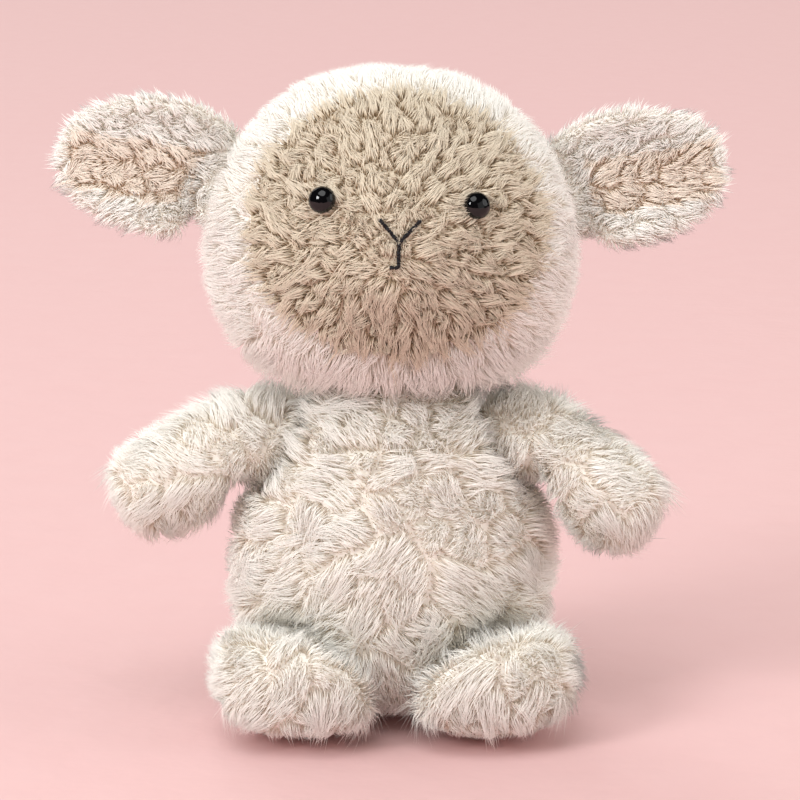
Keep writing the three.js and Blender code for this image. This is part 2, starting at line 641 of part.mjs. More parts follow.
// Ears, in the head's frame
function earParts(side, name, tiltDegrees) {
  const x = headForm.halfWidthAt(EAR_RISE) - EAR_ROOT_SINK;
  const pivot = new THREE.Vector3(side * x, EAR_SET_BACK, EAR_RISE);
  const tilt = radians(tiltDegrees);
  const along = new THREE.Vector3(side * Math.cos(tilt), 0, Math.sin(tilt));
  const frame = frameAt(pivot, along, Y_AXIS);
  const seam = new THREE.Vector3().setFromMatrixColumn(frame, 0);
  const hinge = { pivot, axis: seam.multiplyScalar(-Math.sign(seam.z) * side), ...EAR_SWING };
  const length = EAR_LENGTH + EAR_INNER_START;
  const form = new StuffedForm(EAR_WIDTH, EAR_THICKNESS, length, EAR_FULLNESS, EAR_TAPER);
  const middle = moved(0, 0, length / 2 - EAR_INNER_START);
  const cup = (point) => {
    point.y -= EAR_CUP * (2 * point.x / EAR_WIDTH) ** 2;
  };
  // The layer between the ear's middle surface and its front or back, cupped towards the front
  const layer = (front) => {
    const geometry = form.geometry(COARSE, 0, (point) => {
      point.y = front ? Math.min(point.y, -SEAM_GAP / 2) : Math.max(point.y, SEAM_GAP / 2);
      cup(point);
    });
    return clearOverSwing(placed(solid(geometry), middle), frame, hinge, headObstacle);
  };
  const root = (grow) => {
    const radius = EAR_ROOT_DIAMETER / 2 + grow;
    const geometry = new THREE.CapsuleGeometry(radius, EAR_ROOT_LENGTH, 4, SMALL.sides);
    return solid(geometry.rotateZ(Math.PI / 2));
  };
  const group = hingedGroup(name, frame, hinge);
  group.add(piece(`${name}_lining`, largest(layer(true).subtract(root(SEAM_GAP))), LINING_PLUSH));
  const outer = layer(false).add(root(0));
  group.add(piece(`${name}_outer`, largest(outer), WHITE_PLUSH));
  return { group, socket: placed(root(SEAM_GAP), frame) };
}

// The oval cone that cuts the face panel out of the head's cover, square to the cover at its edge
function faceCone(grow) {
  const length = HEAD_DEPTH / 2 + HEAD_PLUSH;
  const edge = headForm.halfDepthAt(FACE_WIDTH / 2, FACE_RISE);
  const back = 1 - FACE_FLARE * edge;
  const front = 1 + FACE_FLARE * (length - edge);
  const geometry = new THREE.CylinderGeometry(back, front, length, FINE.sides);
  geometry.scale((FACE_WIDTH + grow) / 2, 1, (FACE_HEIGHT + grow) / 2);
  return solid(geometry.translate(0, -length / 2, FACE_RISE));
}

// The head's panels, filling, eyes and stitches, in the head's frame
function headParts(earSockets) {
  const carve = (body) => earSockets.reduce((left, socket) => left.subtract(socket), body);
  const neck = placed(neckSocket, headInward);
  const whole = carve(headForm.solid(FINE)).subtract(neck);
  const cover = whole.subtract(headForm.solid(COARSE, -HEAD_PLUSH));
  const hood = cover.subtract(faceCone(2 * SEAM_GAP));
  const half = SEAM_GAP / 2;
  let face = cover.intersect(faceCone(0));
  let filling = carve(headForm.solid(COARSE, -HEAD_PLUSH - SEAM_GAP)).subtract(neck);
  const parts = [];
  for (const [side, word] of [[1, "left"], [-1, "right"]]) {
    const frame = eyeFrame(side);
    const room = placed(eyeRoom(), frame);
    face = face.subtract(room);
    filling = filling.subtract(room);
    parts.push(piece(`eye_${word}`, placed(eyeSolid(), frame), EYE_PLASTIC));
    parts.push(piece(`eye_washer_${word}`, placed(washerSolid(), frame), WASHER_PLASTIC));
  }
  for (const [name, from, to] of FACE_STITCHES) {
    face = face.subtract(faceStitch(from, to, FACE_THREAD_DIAMETER + 2 * SEAM_GAP));
    parts.push(piece(name, faceStitch(from, to, FACE_THREAD_DIAMETER), BLACK_THREAD));
  }
  parts.push(piece("face_panel", largest(face), FACE_PLUSH));
  const hoodSide = (low, high) => largest(hood.subtract(box(low, high)));
  parts.push(piece("hood_left", hoodSide([-FAR, -FAR, -FAR], [half, FAR, FAR]), WHITE_PLUSH));
  parts.push(piece("hood_right", hoodSide([-half, -FAR, -FAR], [FAR, FAR, FAR]), WHITE_PLUSH));
  parts.push(piece("head_stuffing", largest(filling), FILLING));
  return parts;
}

// The whole lamb
const lamb = new THREE.Group();
lamb.name = "plush_lamb";

const limbs = [
  armParts(1, "arm_left", ARM_DROOP_LEFT, ARM_FORWARD_LEFT),
  armParts(-1, "arm_right", ARM_DROOP_RIGHT, ARM_FORWARD_RIGHT),
  legParts(1, "leg_left"),
  legParts(-1, "leg_right"),
  tailParts(),
];
lamb.add(...bodyParts(limbs.map((limb) => limb.socket)));
lamb.add(...limbs.map((limb) => limb.group));

const neck = new THREE.Group();
neck.name = "neck";
neck.userData.hinge = { pivot: neckPivot, axis: Z_AXIS.clone(), ...HEAD_TURN };
neck.add(piece("neck_thread", neckRing(), WHITE_THREAD));

const ears = [earParts(1, "ear_left", EAR_TILT_LEFT), earParts(-1, "ear_right", EAR_TILT_RIGHT)];
const head = new THREE.Group();
head.name = "head";
head.applyMatrix4(headFrame);
head.userData.hinge = { pivot: neckPivot, axis: X_AXIS.clone(), ...HEAD_NOD };
head.add(...headParts(ears.map((ear) => ear.socket)));
head.add(...ears.map((ear) => ear.group));
neck.add(head);
lamb.add(neck);

export default lamb;
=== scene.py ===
"""Plush lamb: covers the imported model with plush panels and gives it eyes, stitches and a stage."""

import json
import math
from functools import partial

import bmesh
import bpy
import numpy as np
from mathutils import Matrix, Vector
from mathutils.bvhtree import BVHTree


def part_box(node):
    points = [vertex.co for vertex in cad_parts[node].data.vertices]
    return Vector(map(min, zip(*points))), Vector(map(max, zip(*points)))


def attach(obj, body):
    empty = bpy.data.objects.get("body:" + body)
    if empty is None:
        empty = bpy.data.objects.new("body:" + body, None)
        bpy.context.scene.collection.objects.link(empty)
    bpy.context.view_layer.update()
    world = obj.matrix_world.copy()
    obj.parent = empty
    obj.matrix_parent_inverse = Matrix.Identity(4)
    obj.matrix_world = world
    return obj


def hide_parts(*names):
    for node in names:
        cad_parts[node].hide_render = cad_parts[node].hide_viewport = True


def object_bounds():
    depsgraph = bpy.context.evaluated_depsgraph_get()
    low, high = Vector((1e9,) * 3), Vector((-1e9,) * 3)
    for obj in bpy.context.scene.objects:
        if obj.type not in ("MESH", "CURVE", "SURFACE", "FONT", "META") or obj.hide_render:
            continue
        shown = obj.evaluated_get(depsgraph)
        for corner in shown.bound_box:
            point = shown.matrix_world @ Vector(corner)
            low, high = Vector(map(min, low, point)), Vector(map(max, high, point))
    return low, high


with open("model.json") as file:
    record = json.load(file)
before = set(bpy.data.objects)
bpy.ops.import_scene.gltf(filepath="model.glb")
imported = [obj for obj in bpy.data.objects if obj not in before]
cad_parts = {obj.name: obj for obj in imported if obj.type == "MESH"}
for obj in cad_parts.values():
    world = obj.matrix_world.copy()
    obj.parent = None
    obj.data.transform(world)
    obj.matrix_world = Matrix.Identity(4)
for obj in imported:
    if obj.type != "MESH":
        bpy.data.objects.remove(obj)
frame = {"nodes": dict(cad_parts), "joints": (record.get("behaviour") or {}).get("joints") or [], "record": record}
CAD_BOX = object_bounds()
BODIES = frame["record"]["behaviour"]["bodies"]
PIVOTS = {joint["child"]: np.array(joint["pos_m"]) for joint in frame["joints"]}
AXES = {joint["child"]: np.array(joint["axis"]) for joint in frame["joints"]}

bl_info = {
    "name": "Plush lamb",
    "version": (1, 0, 0),
    "blender": (4, 5, 0),
    "location": "3D view > Sidebar > Lamb",
    "description": "Sews plush, eyes and stitches over the lamb's packed solids",
    "category": "Object",
}

MM = 0.001
SAME_POINT = 1e-6
NEXT_TO_NOUGHT = 1e-9
SIDES = ("left", "right")

# Skin and backing
# For each body: size of the skin's even mesh, how full the cover is, and the seed of its strands
SKINS = {
    "torso": (4 * MM, 0.8, 11),
    "head": (3 * MM, 0.9, 31),
    "ear_left": (2 * MM, 0.2, 51),
    "ear_right": (2 * MM, 0.2, 61),
    "arm_left": (3 * MM, 0.7, 71),
    "arm_right": (3 * MM, 0.7, 81),
    "leg_left": (3 * MM, 0.8, 91),
    "leg_right": (3 * MM, 0.8, 101),
    "tail": (2 * MM, 0.3, 111),
}
SKIN_ROUNDS = 4  # of smoothing, which take the steps out of the even mesh
BACKING = 1.2 * MM  # thickness of the knitted backing
# The backing takes a strand's colour low down, so it carries part of the roots' painted shade
BACKING_SHADE = (0.4, 0.03)  # the share of a strand's length whose colour the backing has, and its spread
BACKING_TONE = (0.5, 0.3)  # its place in the range of the strands' tones, and its spread
BACKING_WAVES = (40.0, 30.0, 50.0)  # how quickly the backing's tone changes, in radians a metre
SEWN_REACH = 0.35 * MM  # two parts nearer than this are sewn together or turn on each other
BARE_REACH = 0.8 * MM  # the pile starts within this distance of another part
FREE_REACH = 3.2 * MM  # the backing has its full depth this far from another part
NEAR_DEPTH = 0.5  # share of the depth next to another part
NEAR_LENGTH = 0.55  # share of the strands' length where the backing has no depth
SINK_STEPS = 8
SINK_SHARE = 0.6  # of the pile's depth, as the smoothing makes up the rest
SINK_CATCH = 0.8 * MM  # most that a point moves in each step that evens out the depth
FLOOR_RISE = 11 * MM  # depth and length are full from this height
FLOOR_LIFT = 0.4  # share of depth and length on the floor
REST_HEIGHT = 7 * MM  # what looks down below this height rests on the floor
REST_TURN = -0.8
HIDDEN_PILE = 0.4  # share of the strands that grow there
FLOOR_PILE = 0.3 * MM  # strands that meet the floor end this far above it
FRONT_PILE = CAD_BOX[0][1] - 5.5 * MM  # no strand of the toes comes further forwards
NO_LIMIT = -9.0

# Strands
FLOW_SIZE = 22 * MM  # patches that fall one way
WISP_SIZE = 2.6 * MM
LAY = (0.3, 1.15)  # least and most share of the lean, so that upright strands keep partings covered
UNEVEN = (0.62, 1.1)  # shortest and longest strand, as shares of the pile's length
TONE = (0.02, 0.5)  # range of a strand's own tone
TUFT_TONE = 0.45  # range of the tone that a tuft shares
STRAND_SIDES = 3
STRAND_PARTS = 2
STRAND_FULLNESS = 1.4  # keeps the lower half of a strand nearly as wide as its root
STRAND_BEND = 1.6  # how late along its length a strand bends
SURFACE_SHADE = 0.45  # share of the backing's own direction in how a thin strand takes the light
SURFACE_TURN = (-0.6, 0.3)  # how far out a side faces where that share starts and is full

# Body
WHORL = (1 * MM, 56 * MM)  # x and z of the spot on the belly that the pile falls away from
WHORL_REACH = 18 * MM
WHORL_COMB = 0.55
BODY_FALL = 0.4
BACK_RANGE = (-5 * MM, 20 * MM)  # the front's way of falling ends over this range of depth
SHOULDER_RANGE = (72 * MM, 92 * MM)
SHOULDER_LENGTH = 0.45  # how much longer the pile is at the shoulders
SHOULDER_CALM = 0.7  # how much less it is combed over there

# Head
HEAD_FALL = 0.25
BACK_FALL = 2.0  # how much more it falls behind
UNDER_RANGE = (0.35, 0.9)  # how far down a face looks where the longer pile starts and is full
UNDER_LENGTH = 0.7
FACE_RANGE = (10 * MM, 20 * MM)
# Pile round the eyes and the stitches: from and to which distance it changes, the share of its length
# nearest to them, and how far it is combed away from them, or towards them below nought
EYE_PILE = (3.2 * MM, 9 * MM, 1.0, -0.6)
STITCH_PILE = (0.5 * MM, 4 * MM, 0.72, 0.9)
EYE_BARE = 3.4 * MM
MUZZLE_RANGE = (3 * MM, 18 * MM)  # the face is firmer, with a shallower pile, this near the stitches
MUZZLE_DEPTH = 0.5

# Ears
EAR_CUP = 6 * MM  # how far the solid ears' long edges come forwards
EAR_HOLLOW = 9 * MM  # how far the plush ears' backing comes forwards there
EAR_HALF_WIDTH = 22 * MM
EAR_SHARES = (0.95, 0.9, 0.42)  # of the solid's length, width and thickness that the backing has
EAR_RIM_COMB = 0.5
EAR_LIP = 7 * MM  # above this height over the root, the back layer folds over the front
EAR_FRINGE = -11 * MM  # and below this height
EAR_FRONT = 0.85  # the lining covers what faces forwards this much, the back layer the rest
EAR_APART = 1.0  # a distance that no face has, which keeps the lining off

# Arms, legs and tail
ARM_FALL = 0.3
ARM_ROOT = (4 * MM, 22 * MM)
ARM_ROOT_LENGTH = 0.35
ARM_ROOT_CALM = 0.8
ARM_TIP = (0.5, 0.95)  # how far along the arm a face looks where its tip starts and is full
ARM_TIP_CUT = 0.3
LEG_SHIFTS = {"left": -1.0 * MM, "right": 3.0 * MM}  # how far the plush of a foot is moved across
LEG_CROWN = (0.0, 42 * MM, 28 * MM)  # the spot, from the hip, that the pile falls away from
LEG_LENGTH = 1.2
LEG_INNER = (0.4, 0.9)  # how far inwards a face looks where the longer pile starts and is full
LEG_INNER_LENGTH = 0.4
TOE_RANGE = (3 * MM, 18 * MM)
TOE_LENGTH = 0.7
TOE_COMB = 0.2
TAIL_COMB = 0.5
TAIL_DEPTH = 0.5
TAIL_LENGTH = 0.75

# Filling, threads and eyes
FILLINGS = {body: f"{body}_stuffing" for body in ("head", "arm_left", "arm_right", "leg_left", "leg_right")}
FILLINGS["torso"] = "body_stuffing"
FILLING_DEPTH = BACKING + 0.6 * MM  # the filling stays this far below the backing's outer side
CLOSING_HEIGHT = 0.9 * MM  # the closing stitch lies this far above the backing, inside the pile
STITCHES = ("nose_stitch_left", "nose_stitch_right", "mouth_stitch", "mouth_corner_stitch")
STITCH_COUNT = 3  # in each line of the nose and mouth
CORNER_SHARE = 0.42  # of the corner stitch's length that shows
STITCH_OUT = np.array([0.0, -1.0, 0.15])  # the way out of the face at the muzzle
# One stitch: share of its length, and height in millimetres
STITCH_COURSE = ((0.0, -1.8), (0.1, -0.8), (0.3, 0.0), (0.7, 0.0), (0.9, -0.8), (1.0, -1.8))
THREAD_RADIUS = 0.6 * MM
THREAD_TWIST = 1.6 * MM
THREAD_STEP = 0.2 * MM
PLY_RADIUS = 0.58  # of the thread's own radius
PLY_OFFSET = 0.42
PLY_SIDES = 8
EYE_LEVELS = 2
INSIDE_FINISHES = {
    "pouch_cloth": "cotton_pouch",
    "white_thread": "cream_sewing_thread",
    "washer_plastic": "moulded_nylon_washer",
}

# Stage, in metres and watts
FLOOR_REACH = 8.0
AIM = Vector((2.4 * MM, 0, 95.3 * MM))
CAMERA_LENS = 150
CAMERA_SENSOR = 36
CAMERA_TILT = math.radians(11.5)
# Area lamps have a place, a size and a power, and suns the way that they shine and a power
AREA_LAMPS = {"key": ((-1.9, -1.8, 1.6), 0.8, 40.0), "fill": ((2.0, -1.8, 0.9), 2.2, 8.0)}
SUNS = {
    "ceiling": ((0.5, 1.0, -2.5), 0.95),
    "behind": ((0.4, -1.0, -0.5), 1.0),
    "side": ((-1.0, 0.1, -0.45), 0.5),
}
SUN_WIDTH = math.radians(40)
ROOM_COLOUR = "#FFF9F2"
ROOM_LIGHT = 0.8
LIGHT_BOUNCES = 16
PILE_BOUNCES = 12  # white pile stays light inside only when light bounces in it many times

# Sizes and colours of a plush, lengths in millimetres. Strands are wider and fewer than real fibres, as
# coarse as they need to be to show
PLUSH_FIELDS = (
    ("length", "Strand length", "Length of a strand", "LENGTH"),
    ("depth", "Pile depth", "How far the backing lies below the tips of the pile", "LENGTH"),
    ("width", "Strand radius", "Half the width of a strand at its root", "LENGTH"),
    ("count", "Strands", "Strands on a square millimetre", "NONE"),
    ("tuft", "Tuft size", "Distance between tufts", "LENGTH"),
    ("pull", "Tuft pull", "How far strands close up to their tuft", "NONE"),
    ("flow", "Flow spread", "How differently whole patches fall", "NONE"),
    ("spread", "Tuft spread", "How differently tufts fall", "NONE"),
    ("wisp", "Wisp spread", "How differently small wisps fall", "NONE"),
    ("stray", "Stray", "How far single strands stray", "NONE"),
    ("lean", "Lean", "How far the pile is combed over", "NONE"),
    ("droop", "Droop", "Share of its height that a strand loses as it bends over", "NONE"),
    # The root colour is painted shade deep in the pile
    ("root", "Root colour", "Colour at the backing", "COLOR"),
    ("tip", "Tip colour", "Colour at the tips", "COLOR"),
)
# Each root colour is darker and warmer than its tip: painted shade deep in the pile
PLUSHES = {
    "body": (10.5, 4.4, 0.14, 1.95, 9.5, 0.48, 1.3, 1.0, 0.6, 0.12, 0.45, 0.48, "#F7EEE1", "#FFFEF8"),
    "limb": (8.8, 4.0, 0.13, 2.6, 8.0, 0.42, 1.4, 1.0, 0.6, 0.12, 0.34, 0.44, "#F7EEE1", "#FFFEF8"),
    "hood": (8.5, 3.8, 0.13, 1.9, 7.0, 0.38, 0.8, 0.7, 0.45, 0.1, 0.5, 0.52, "#F9F2E8", "#FFFEF9"),
    "face": (6.8, 4.0, 0.14, 3.3, 3.8, 0.7, 0.4, 0.9, 0.5, 0.12, 0.38, 0.42, "#BAA281", "#E7DCC8"),
    "ear": (7.0, 4.0, 0.15, 3.9, 5.0, 0.45, 0.7, 0.4, 0.8, 0.1, 0.45, 0.5, "#F9F2E8", "#FFFEF9"),
    # The lining is a creamier cloth than the ear's back, and its deeper tan is painted shade of the ear's hollow
    "lining": (6.5, 4.0, 0.15, 4.4, 5.0, 0.5, 0.7, 0.4, 0.8, 0.1, 0.5, 0.5, "#D8BE9D", "#F8EDDF"),
}
# Below this share a strand darkens towards its root, as painted shade
PLUSH_TIP = 0.55  # share of a strand's length from which it has the colour of the tip
PLUSH_TONES = (0.93, 1.02)

# Plain finishes: light and dark tone, size of a grain in millimetres, roughness and strength of the highlight
FINISHES = {
    # Loose wadding: white, matt and cloudy
    "polyester_fibre_filling": ("#FBFAF7", "#E9E6DF", 1.5, 0.95, 0.5),
    # Spun cotton: cream, with a fine fibrous grain and next to no shine
    "cream_sewing_thread": ("#F1EADD", "#D9CDB8", 0.4, 0.8, 0.5),
    # Stranded cotton: near black, with a dull shine along each ply
    "black_embroidery_thread": ("#211F25", "#0B0A0D", 0.3, 0.65, 0.5),
    # Moulded and polished acrylic: black and even, with a small sharp highlight
    "polished_black_acrylic": ("#0B0B0D", "#060607", 3.0, 0.05, 0.45),
    # Unbleached woven cotton: greyish cream and matt
    "cotton_pouch": ("#DCD6C8", "#C6BFAE", 0.5, 0.9, 0.5),
    # Moulded nylon: milky white with a satin surface
    "moulded_nylon_washer": ("#EDEDEA", "#DDDDD8", 2.0, 0.45, 0.5),
    # Paper under the toy: one pale pink, matt, with hardly any grain
    "pale_blush_paper": ("#D5B1B1", "#D3ADAD", 20.0, 0.9, 0.5),
}
GRAIN_RELIEF = 0.2  # height of a grain as a share of its size, and how strongly it shows


def linear(hex_code):
    """The linear RGBA of an sRGB hex colour."""
    parts = [int(hex_code[i:i + 2], 16) / 255 for i in (1, 3, 5)]
    return [p / 12.92 if p <= 0.04045 else ((p + 0.055) / 1.055) ** 2.4 for p in parts] + [1.0]


def unit(vectors):
    """Vectors brought to length one."""
    return vectors / np.maximum(np.linalg.norm(vectors, axis=-1, keepdims=True), NEXT_TO_NOUGHT)


def tangent(vectors, normals):
    """The share of each vector that lies along the surface."""
    return vectors - normals * np.sum(vectors * normals, axis=1, keepdims=True)


def ramp(values, low, high):
    """Values eased from 0 at low to 1 at high."""
    share = np.clip((values - low) / (high - low), 0, 1)
    return share * share * (3 - 2 * share)


def rising(least, share):
    """Values from the least, where the share is 0, to 1."""
    return least + (1 - least) * share


# Nodes

MATH = "ShaderNodeMath"
VECTOR_MATH = "ShaderNodeVectorMath"
RANDOM = "FunctionNodeRandomValue"
NAMED = "GeometryNodeInputNamedAttribute"
STORE = "GeometryNodeStoreNamedAttribute"
SET_PLACE = "GeometryNodeSetPosition"
SIZE = "FLOAT"
WAY = "FLOAT_VECTOR"
PILE_SIZES = ("count", "length", "width", "tuft", "pull", "flow", "spread", "wisp", "stray", "droop")
PILE_INPUTS = {**dict.fromkeys(PILE_SIZES, "Float"), "Seed": "Int"}
THREAD_INPUTS = {"radius": "Float", "twist": "Float"}
# What the backing tells its strands, and what each strand keeps from its root
TOLD = {"comb": WAY, "pile": SIZE, "thick": SIZE}
KEPT = {"up": WAY, "lean": WAY, "pull": WAY, "reach": SIZE, "tone": SIZE}


def add_node(tree, kind, links=(), operation=None, **settings):
    """Adds a node with its settings, links or fills its inputs, and returns its outputs by name.

    Links go by an input's name or, in a list, by its place. Given as an input, a node's outputs stand for
    the first of them, and a list of outputs for several links.
    """
    node = tree.nodes.new(kind)
    if operation:
        node.operation = operation
    for name, value in settings.items():
        setattr(node, name, value)
    inputs = [socket for socket in node.inputs if socket.enabled]
    for key, value in links.items() if isinstance(links, dict) else enumerate(links):
        socket = inputs[key] if isinstance(key, int) else next(s for s in inputs if s.name == key)
        for item in value if isinstance(value, list) else [value]:
            if isinstance(item, dict):
                item = next(iter(item.values()))
            if isinstance(item, bpy.types.NodeSocket):
                tree.links.new(item, socket)
            else:
                socket.default_value = item
    return {socket.name: socket for socket in node.outputs if socket.enabled}


def new_tree(name, inputs):
    """A geometry tree that makes a piece from its inputs, what adds its nodes, and what it is given."""
    tree = bpy.data.node_groups.new(name, "GeometryNodeTree")
    add = partial(add_node, tree)
    for label, kind in {"Base": "Geometry", **inputs, "Material": "Material"}.items():
        tree.interface.new_socket(label, in_out="INPUT", socket_type=f"NodeSocket{kind}")
    tree.interface.new_socket("Piece", in_out="OUTPUT", socket_type="NodeSocketGeometry")
    return tree, add, add("NodeGroupInput")


def finish_tree(add, geometry, material):
    """Ends a geometry tree: real geometry with its material."""
    piece = add("GeometryNodeRealizeInstances", {"Geometry": geometry})
    piece = add("GeometryNodeSetMaterial", {"Geometry": piece, "Material": material})
    add("NodeGroupOutput", {"Piece": piece})


def pile_tree():
    """Geometry nodes that stand strands on the outer faces of a backing and gather them in tufts."""
    tree, add, given = new_tree("plush_pile", PILE_INPUTS)
    seed = given["Seed"]
    place = add("GeometryNodeInputPosition")
    outer = add(NAMED, {"Name": "outer"}, data_type="BOOLEAN")
    told = {name: add(NAMED, {"Name": name}, data_type=kind) for name, kind in TOLD.items()}
    count = add(MATH, [given["count"], told["thick"]], "MULTIPLY")
    scatter = add("GeometryNodeDistributePointsOnFaces",
                  {"Mesh": given["Base"], "Selection": outer, "Density": count, "Seed": seed})

    # Where each root's tuft gathers and which way it falls
    cells = add(MATH, [1.0, given["tuft"]], "DIVIDE")
    tufts = add("ShaderNodeTexVoronoi", {"Vector": place, "Scale": cells})
    inward = add(VECTOR_MATH, [tufts["Position"], place], "SUBTRACT")
    pull = add(VECTOR_MATH, [inward, given["pull"]], "SCALE")
    flows = add("ShaderNodeTexNoise", {"Vector": place, "Scale": 1 / FLOW_SIZE, "Detail": 1.0})
    wisps = add("ShaderNodeTexNoise", {"Vector": place, "Scale": 1 / WISP_SIZE, "Detail": 1.0})
    lean = told["comb"]
    for noise, spread in ((flows, "flow"), (tufts, "spread"), (wisps, "wisp")):
        around = add(VECTOR_MATH, [noise["Color"], (0.5, 0.5, 0.5)], "SUBTRACT")
        turned = add(VECTOR_MATH, [around, given[spread]], "SCALE")
        lean = add(VECTOR_MATH, [lean, turned], "ADD")
    chance = add(RANDOM, {"Min": (-1.0, -1.0, -1.0), "Max": (1.0, 1.0, 1.0), "Seed": seed}, data_type=WAY)
    laid, uneven, tone = (add(RANDOM, {"Min": low, "Max": high, "Seed": seed}, data_type=SIZE)
                          for low, high in (LAY, UNEVEN, TONE))
    stray = add(VECTOR_MATH, [chance, given["stray"]], "SCALE")
    lean = add(VECTOR_MATH, [lean, stray], "ADD")
    out = add(VECTOR_MATH, [lean, scatter["Normal"]], "PROJECT")
    lean = add(VECTOR_MATH, [lean, out], "SUBTRACT")
    lean = add(VECTOR_MATH, [lean, laid], "SCALE")
    out = add(VECTOR_MATH, [pull, scatter["Normal"]], "PROJECT")
    pull = add(VECTOR_MATH, [pull, out], "SUBTRACT")
    length = add(MATH, [given["length"], uneven], "MULTIPLY")
    length = add(MATH, [length, told["pile"]], "MULTIPLY")
    shade = add("FunctionNodeSeparateColor", {"Color": tufts["Color"]})
    tone = add(MATH, [shade["Red"], TUFT_TONE, tone], "MULTIPLY_ADD")

    points = scatter
    roots = {"up": scatter["Normal"], "lean": lean, "pull": pull, "reach": length, "tone": tone}
    for name, kind in KEPT.items():
        points = add(STORE, {"Geometry": points, "Name": name, "Value": roots[name]}, data_type=kind)

    # One closed strand, flat at first, with its height kept as a value
    cone = add("GeometryNodeMeshCone",
               {"Vertices": STRAND_SIDES, "Side Segments": STRAND_PARTS, "Radius Top": 0.0,
                "Radius Bottom": 1.0, "Depth": 1.0}, fill_type="NGON")
    height = add("ShaderNodeSeparateXYZ", {"Vector": place})["Z"]
    strand = add(STORE, {"Geometry": cone, "Name": "height", "Value": height}, data_type=SIZE)
    full = add(MATH, [height, STRAND_FULLNESS, 1.0], "MULTIPLY_ADD")
    full = add("ShaderNodeCombineXYZ", {"X": full, "Y": full})
    flat = add(VECTOR_MATH, [place, full], "MULTIPLY")
    strand = add(SET_PLACE, {"Geometry": strand, "Position": flat})
    strands = add("GeometryNodeInstanceOnPoints",
                  {"Points": points, "Instance": strand, "Rotation": scatter["Rotation"],
                   "Scale": given["width"]})
    strands = add("GeometryNodeRealizeInstances", {"Geometry": strands})

    # Each strand rises from its root, bends the way it leans and closes up with its tuft
    kept = {name: add(NAMED, {"Name": name}, data_type=kind) for name, kind in KEPT.items()}
    up = kept["up"]
    height = add(NAMED, {"Name": "height"}, data_type=SIZE)
    bend = add(MATH, [height, STRAND_BEND], "POWER")
    lost = add(MATH, [bend, given["droop"]], "MULTIPLY")
    rise = add(MATH, [height, lost], "SUBTRACT")
    stand = add(VECTOR_MATH, [up, rise], "SCALE")
    fall = add(VECTOR_MATH, [kept["lean"], bend], "SCALE")
    path = add(VECTOR_MATH, [stand, fall], "ADD")
    path = add(VECTOR_MATH, [path, kept["reach"]], "SCALE")
    gather = add(VECTOR_MATH, [kept["pull"], bend], "SCALE")
    path = add(VECTOR_MATH, [path, gather], "ADD")
    strands = add(SET_PLACE, {"Geometry": strands, "Offset": path})
    above = add(VECTOR_MATH, [place, (NO_LIMIT, FRONT_PILE, FLOOR_PILE)], "MAXIMUM")
    strands = add(SET_PLACE, {"Geometry": strands, "Position": above})

    # A thin strand takes the light partly as the surface that it stands on
    own = add("GeometryNodeInputNormal")
    upper = add(VECTOR_MATH, [own, up], "DOT_PRODUCT")
    share = add("ShaderNodeMapRange",
                {"Value": upper, "From Min": SURFACE_TURN[0], "From Max": SURFACE_TURN[1],
                 "To Max": SURFACE_SHADE}, interpolation_type="SMOOTHSTEP")
    facing = add("ShaderNodeMix", {"Factor": share, "A": own, "B": up}, data_type="VECTOR")
    strands = add("GeometryNodeSetMeshNormal", {"Mesh": strands, "Custom Normal": facing},
                  mode="FREE", domain="POINT")
    chart = add("ShaderNodeCombineXYZ", {"X": kept["tone"], "Y": height})
    strands = add(STORE, {"Geometry": strands, "Name": "OFBake", "Value": chart},
                  data_type="FLOAT2", domain="CORNER")
    strands = add("GeometryNodeSetShadeSmooth", {"Geometry": strands})
    piece = add("GeometryNodeJoinGeometry", {"Geometry": [given["Base"], strands]})
    finish_tree(add, piece, given["Material"])
    return tree


def thread_tree():
    """Geometry nodes that sweep two plies along a path, twisted round each other."""
    tree, add, given = new_tree("twisted_thread", THREAD_INPUTS)
    path = add("GeometryNodeMeshToCurve", {"Mesh": given["Base"]})
    path = add("GeometryNodeResampleCurve", {"Curve": path, "Length": THREAD_STEP}, mode="LENGTH")
    along = add("GeometryNodeSplineParameter")["Length"]
    turns = add(MATH, [along, given["twist"]], "DIVIDE")
    tilt = add(MATH, [turns, 2 * math.pi], "MULTIPLY")
    path = add("GeometryNodeSetCurveTilt", {"Curve": path, "Tilt": tilt})
    radius = add(MATH, [given["radius"], PLY_RADIUS], "MULTIPLY")
    circle = add("GeometryNodeCurvePrimitiveCircle", {"Resolution": PLY_SIDES, "Radius": radius})
    plies = []
    for side in (-PLY_OFFSET, PLY_OFFSET):
        offset = add(MATH, [given["radius"], side], "MULTIPLY")
        shift = add("ShaderNodeCombineXYZ", {"X": offset})
        plies.append(add("GeometryNodeTransform", {"Geometry": circle, "Translation": shift}))
    plies = add("GeometryNodeJoinGeometry", {"Geometry": plies})
    piece = add("GeometryNodeCurveToMesh", {"Curve": path, "Profile Curve": plies, "Fill Caps": True})
    piece = add("GeometryNodeSetShadeSmooth", {"Geometry": piece})
    finish_tree(add, piece, given["Material"])
    return tree


def grown(obj, make_tree, name, inputs):
    """Works a geometry tree, made once, into an object with the inputs given by name."""
    modifier = obj.modifiers.new(name, "NODES")
    modifier.node_group = bpy.data.node_groups.get(name) or make_tree()
    sockets = {item.name: item.identifier for item in modifier.node_group.interface.items_tree}
    for label, value in inputs.items():
        modifier[sockets[label]] = value
    return settled(obj)


# Materials

def new_material(name):
    """An empty node material, and what adds its nodes."""
    material = bpy.data.materials.new(name)
    material.use_nodes = True
    material.node_tree.nodes.clear()
    return material, partial(add_node, material.node_tree)


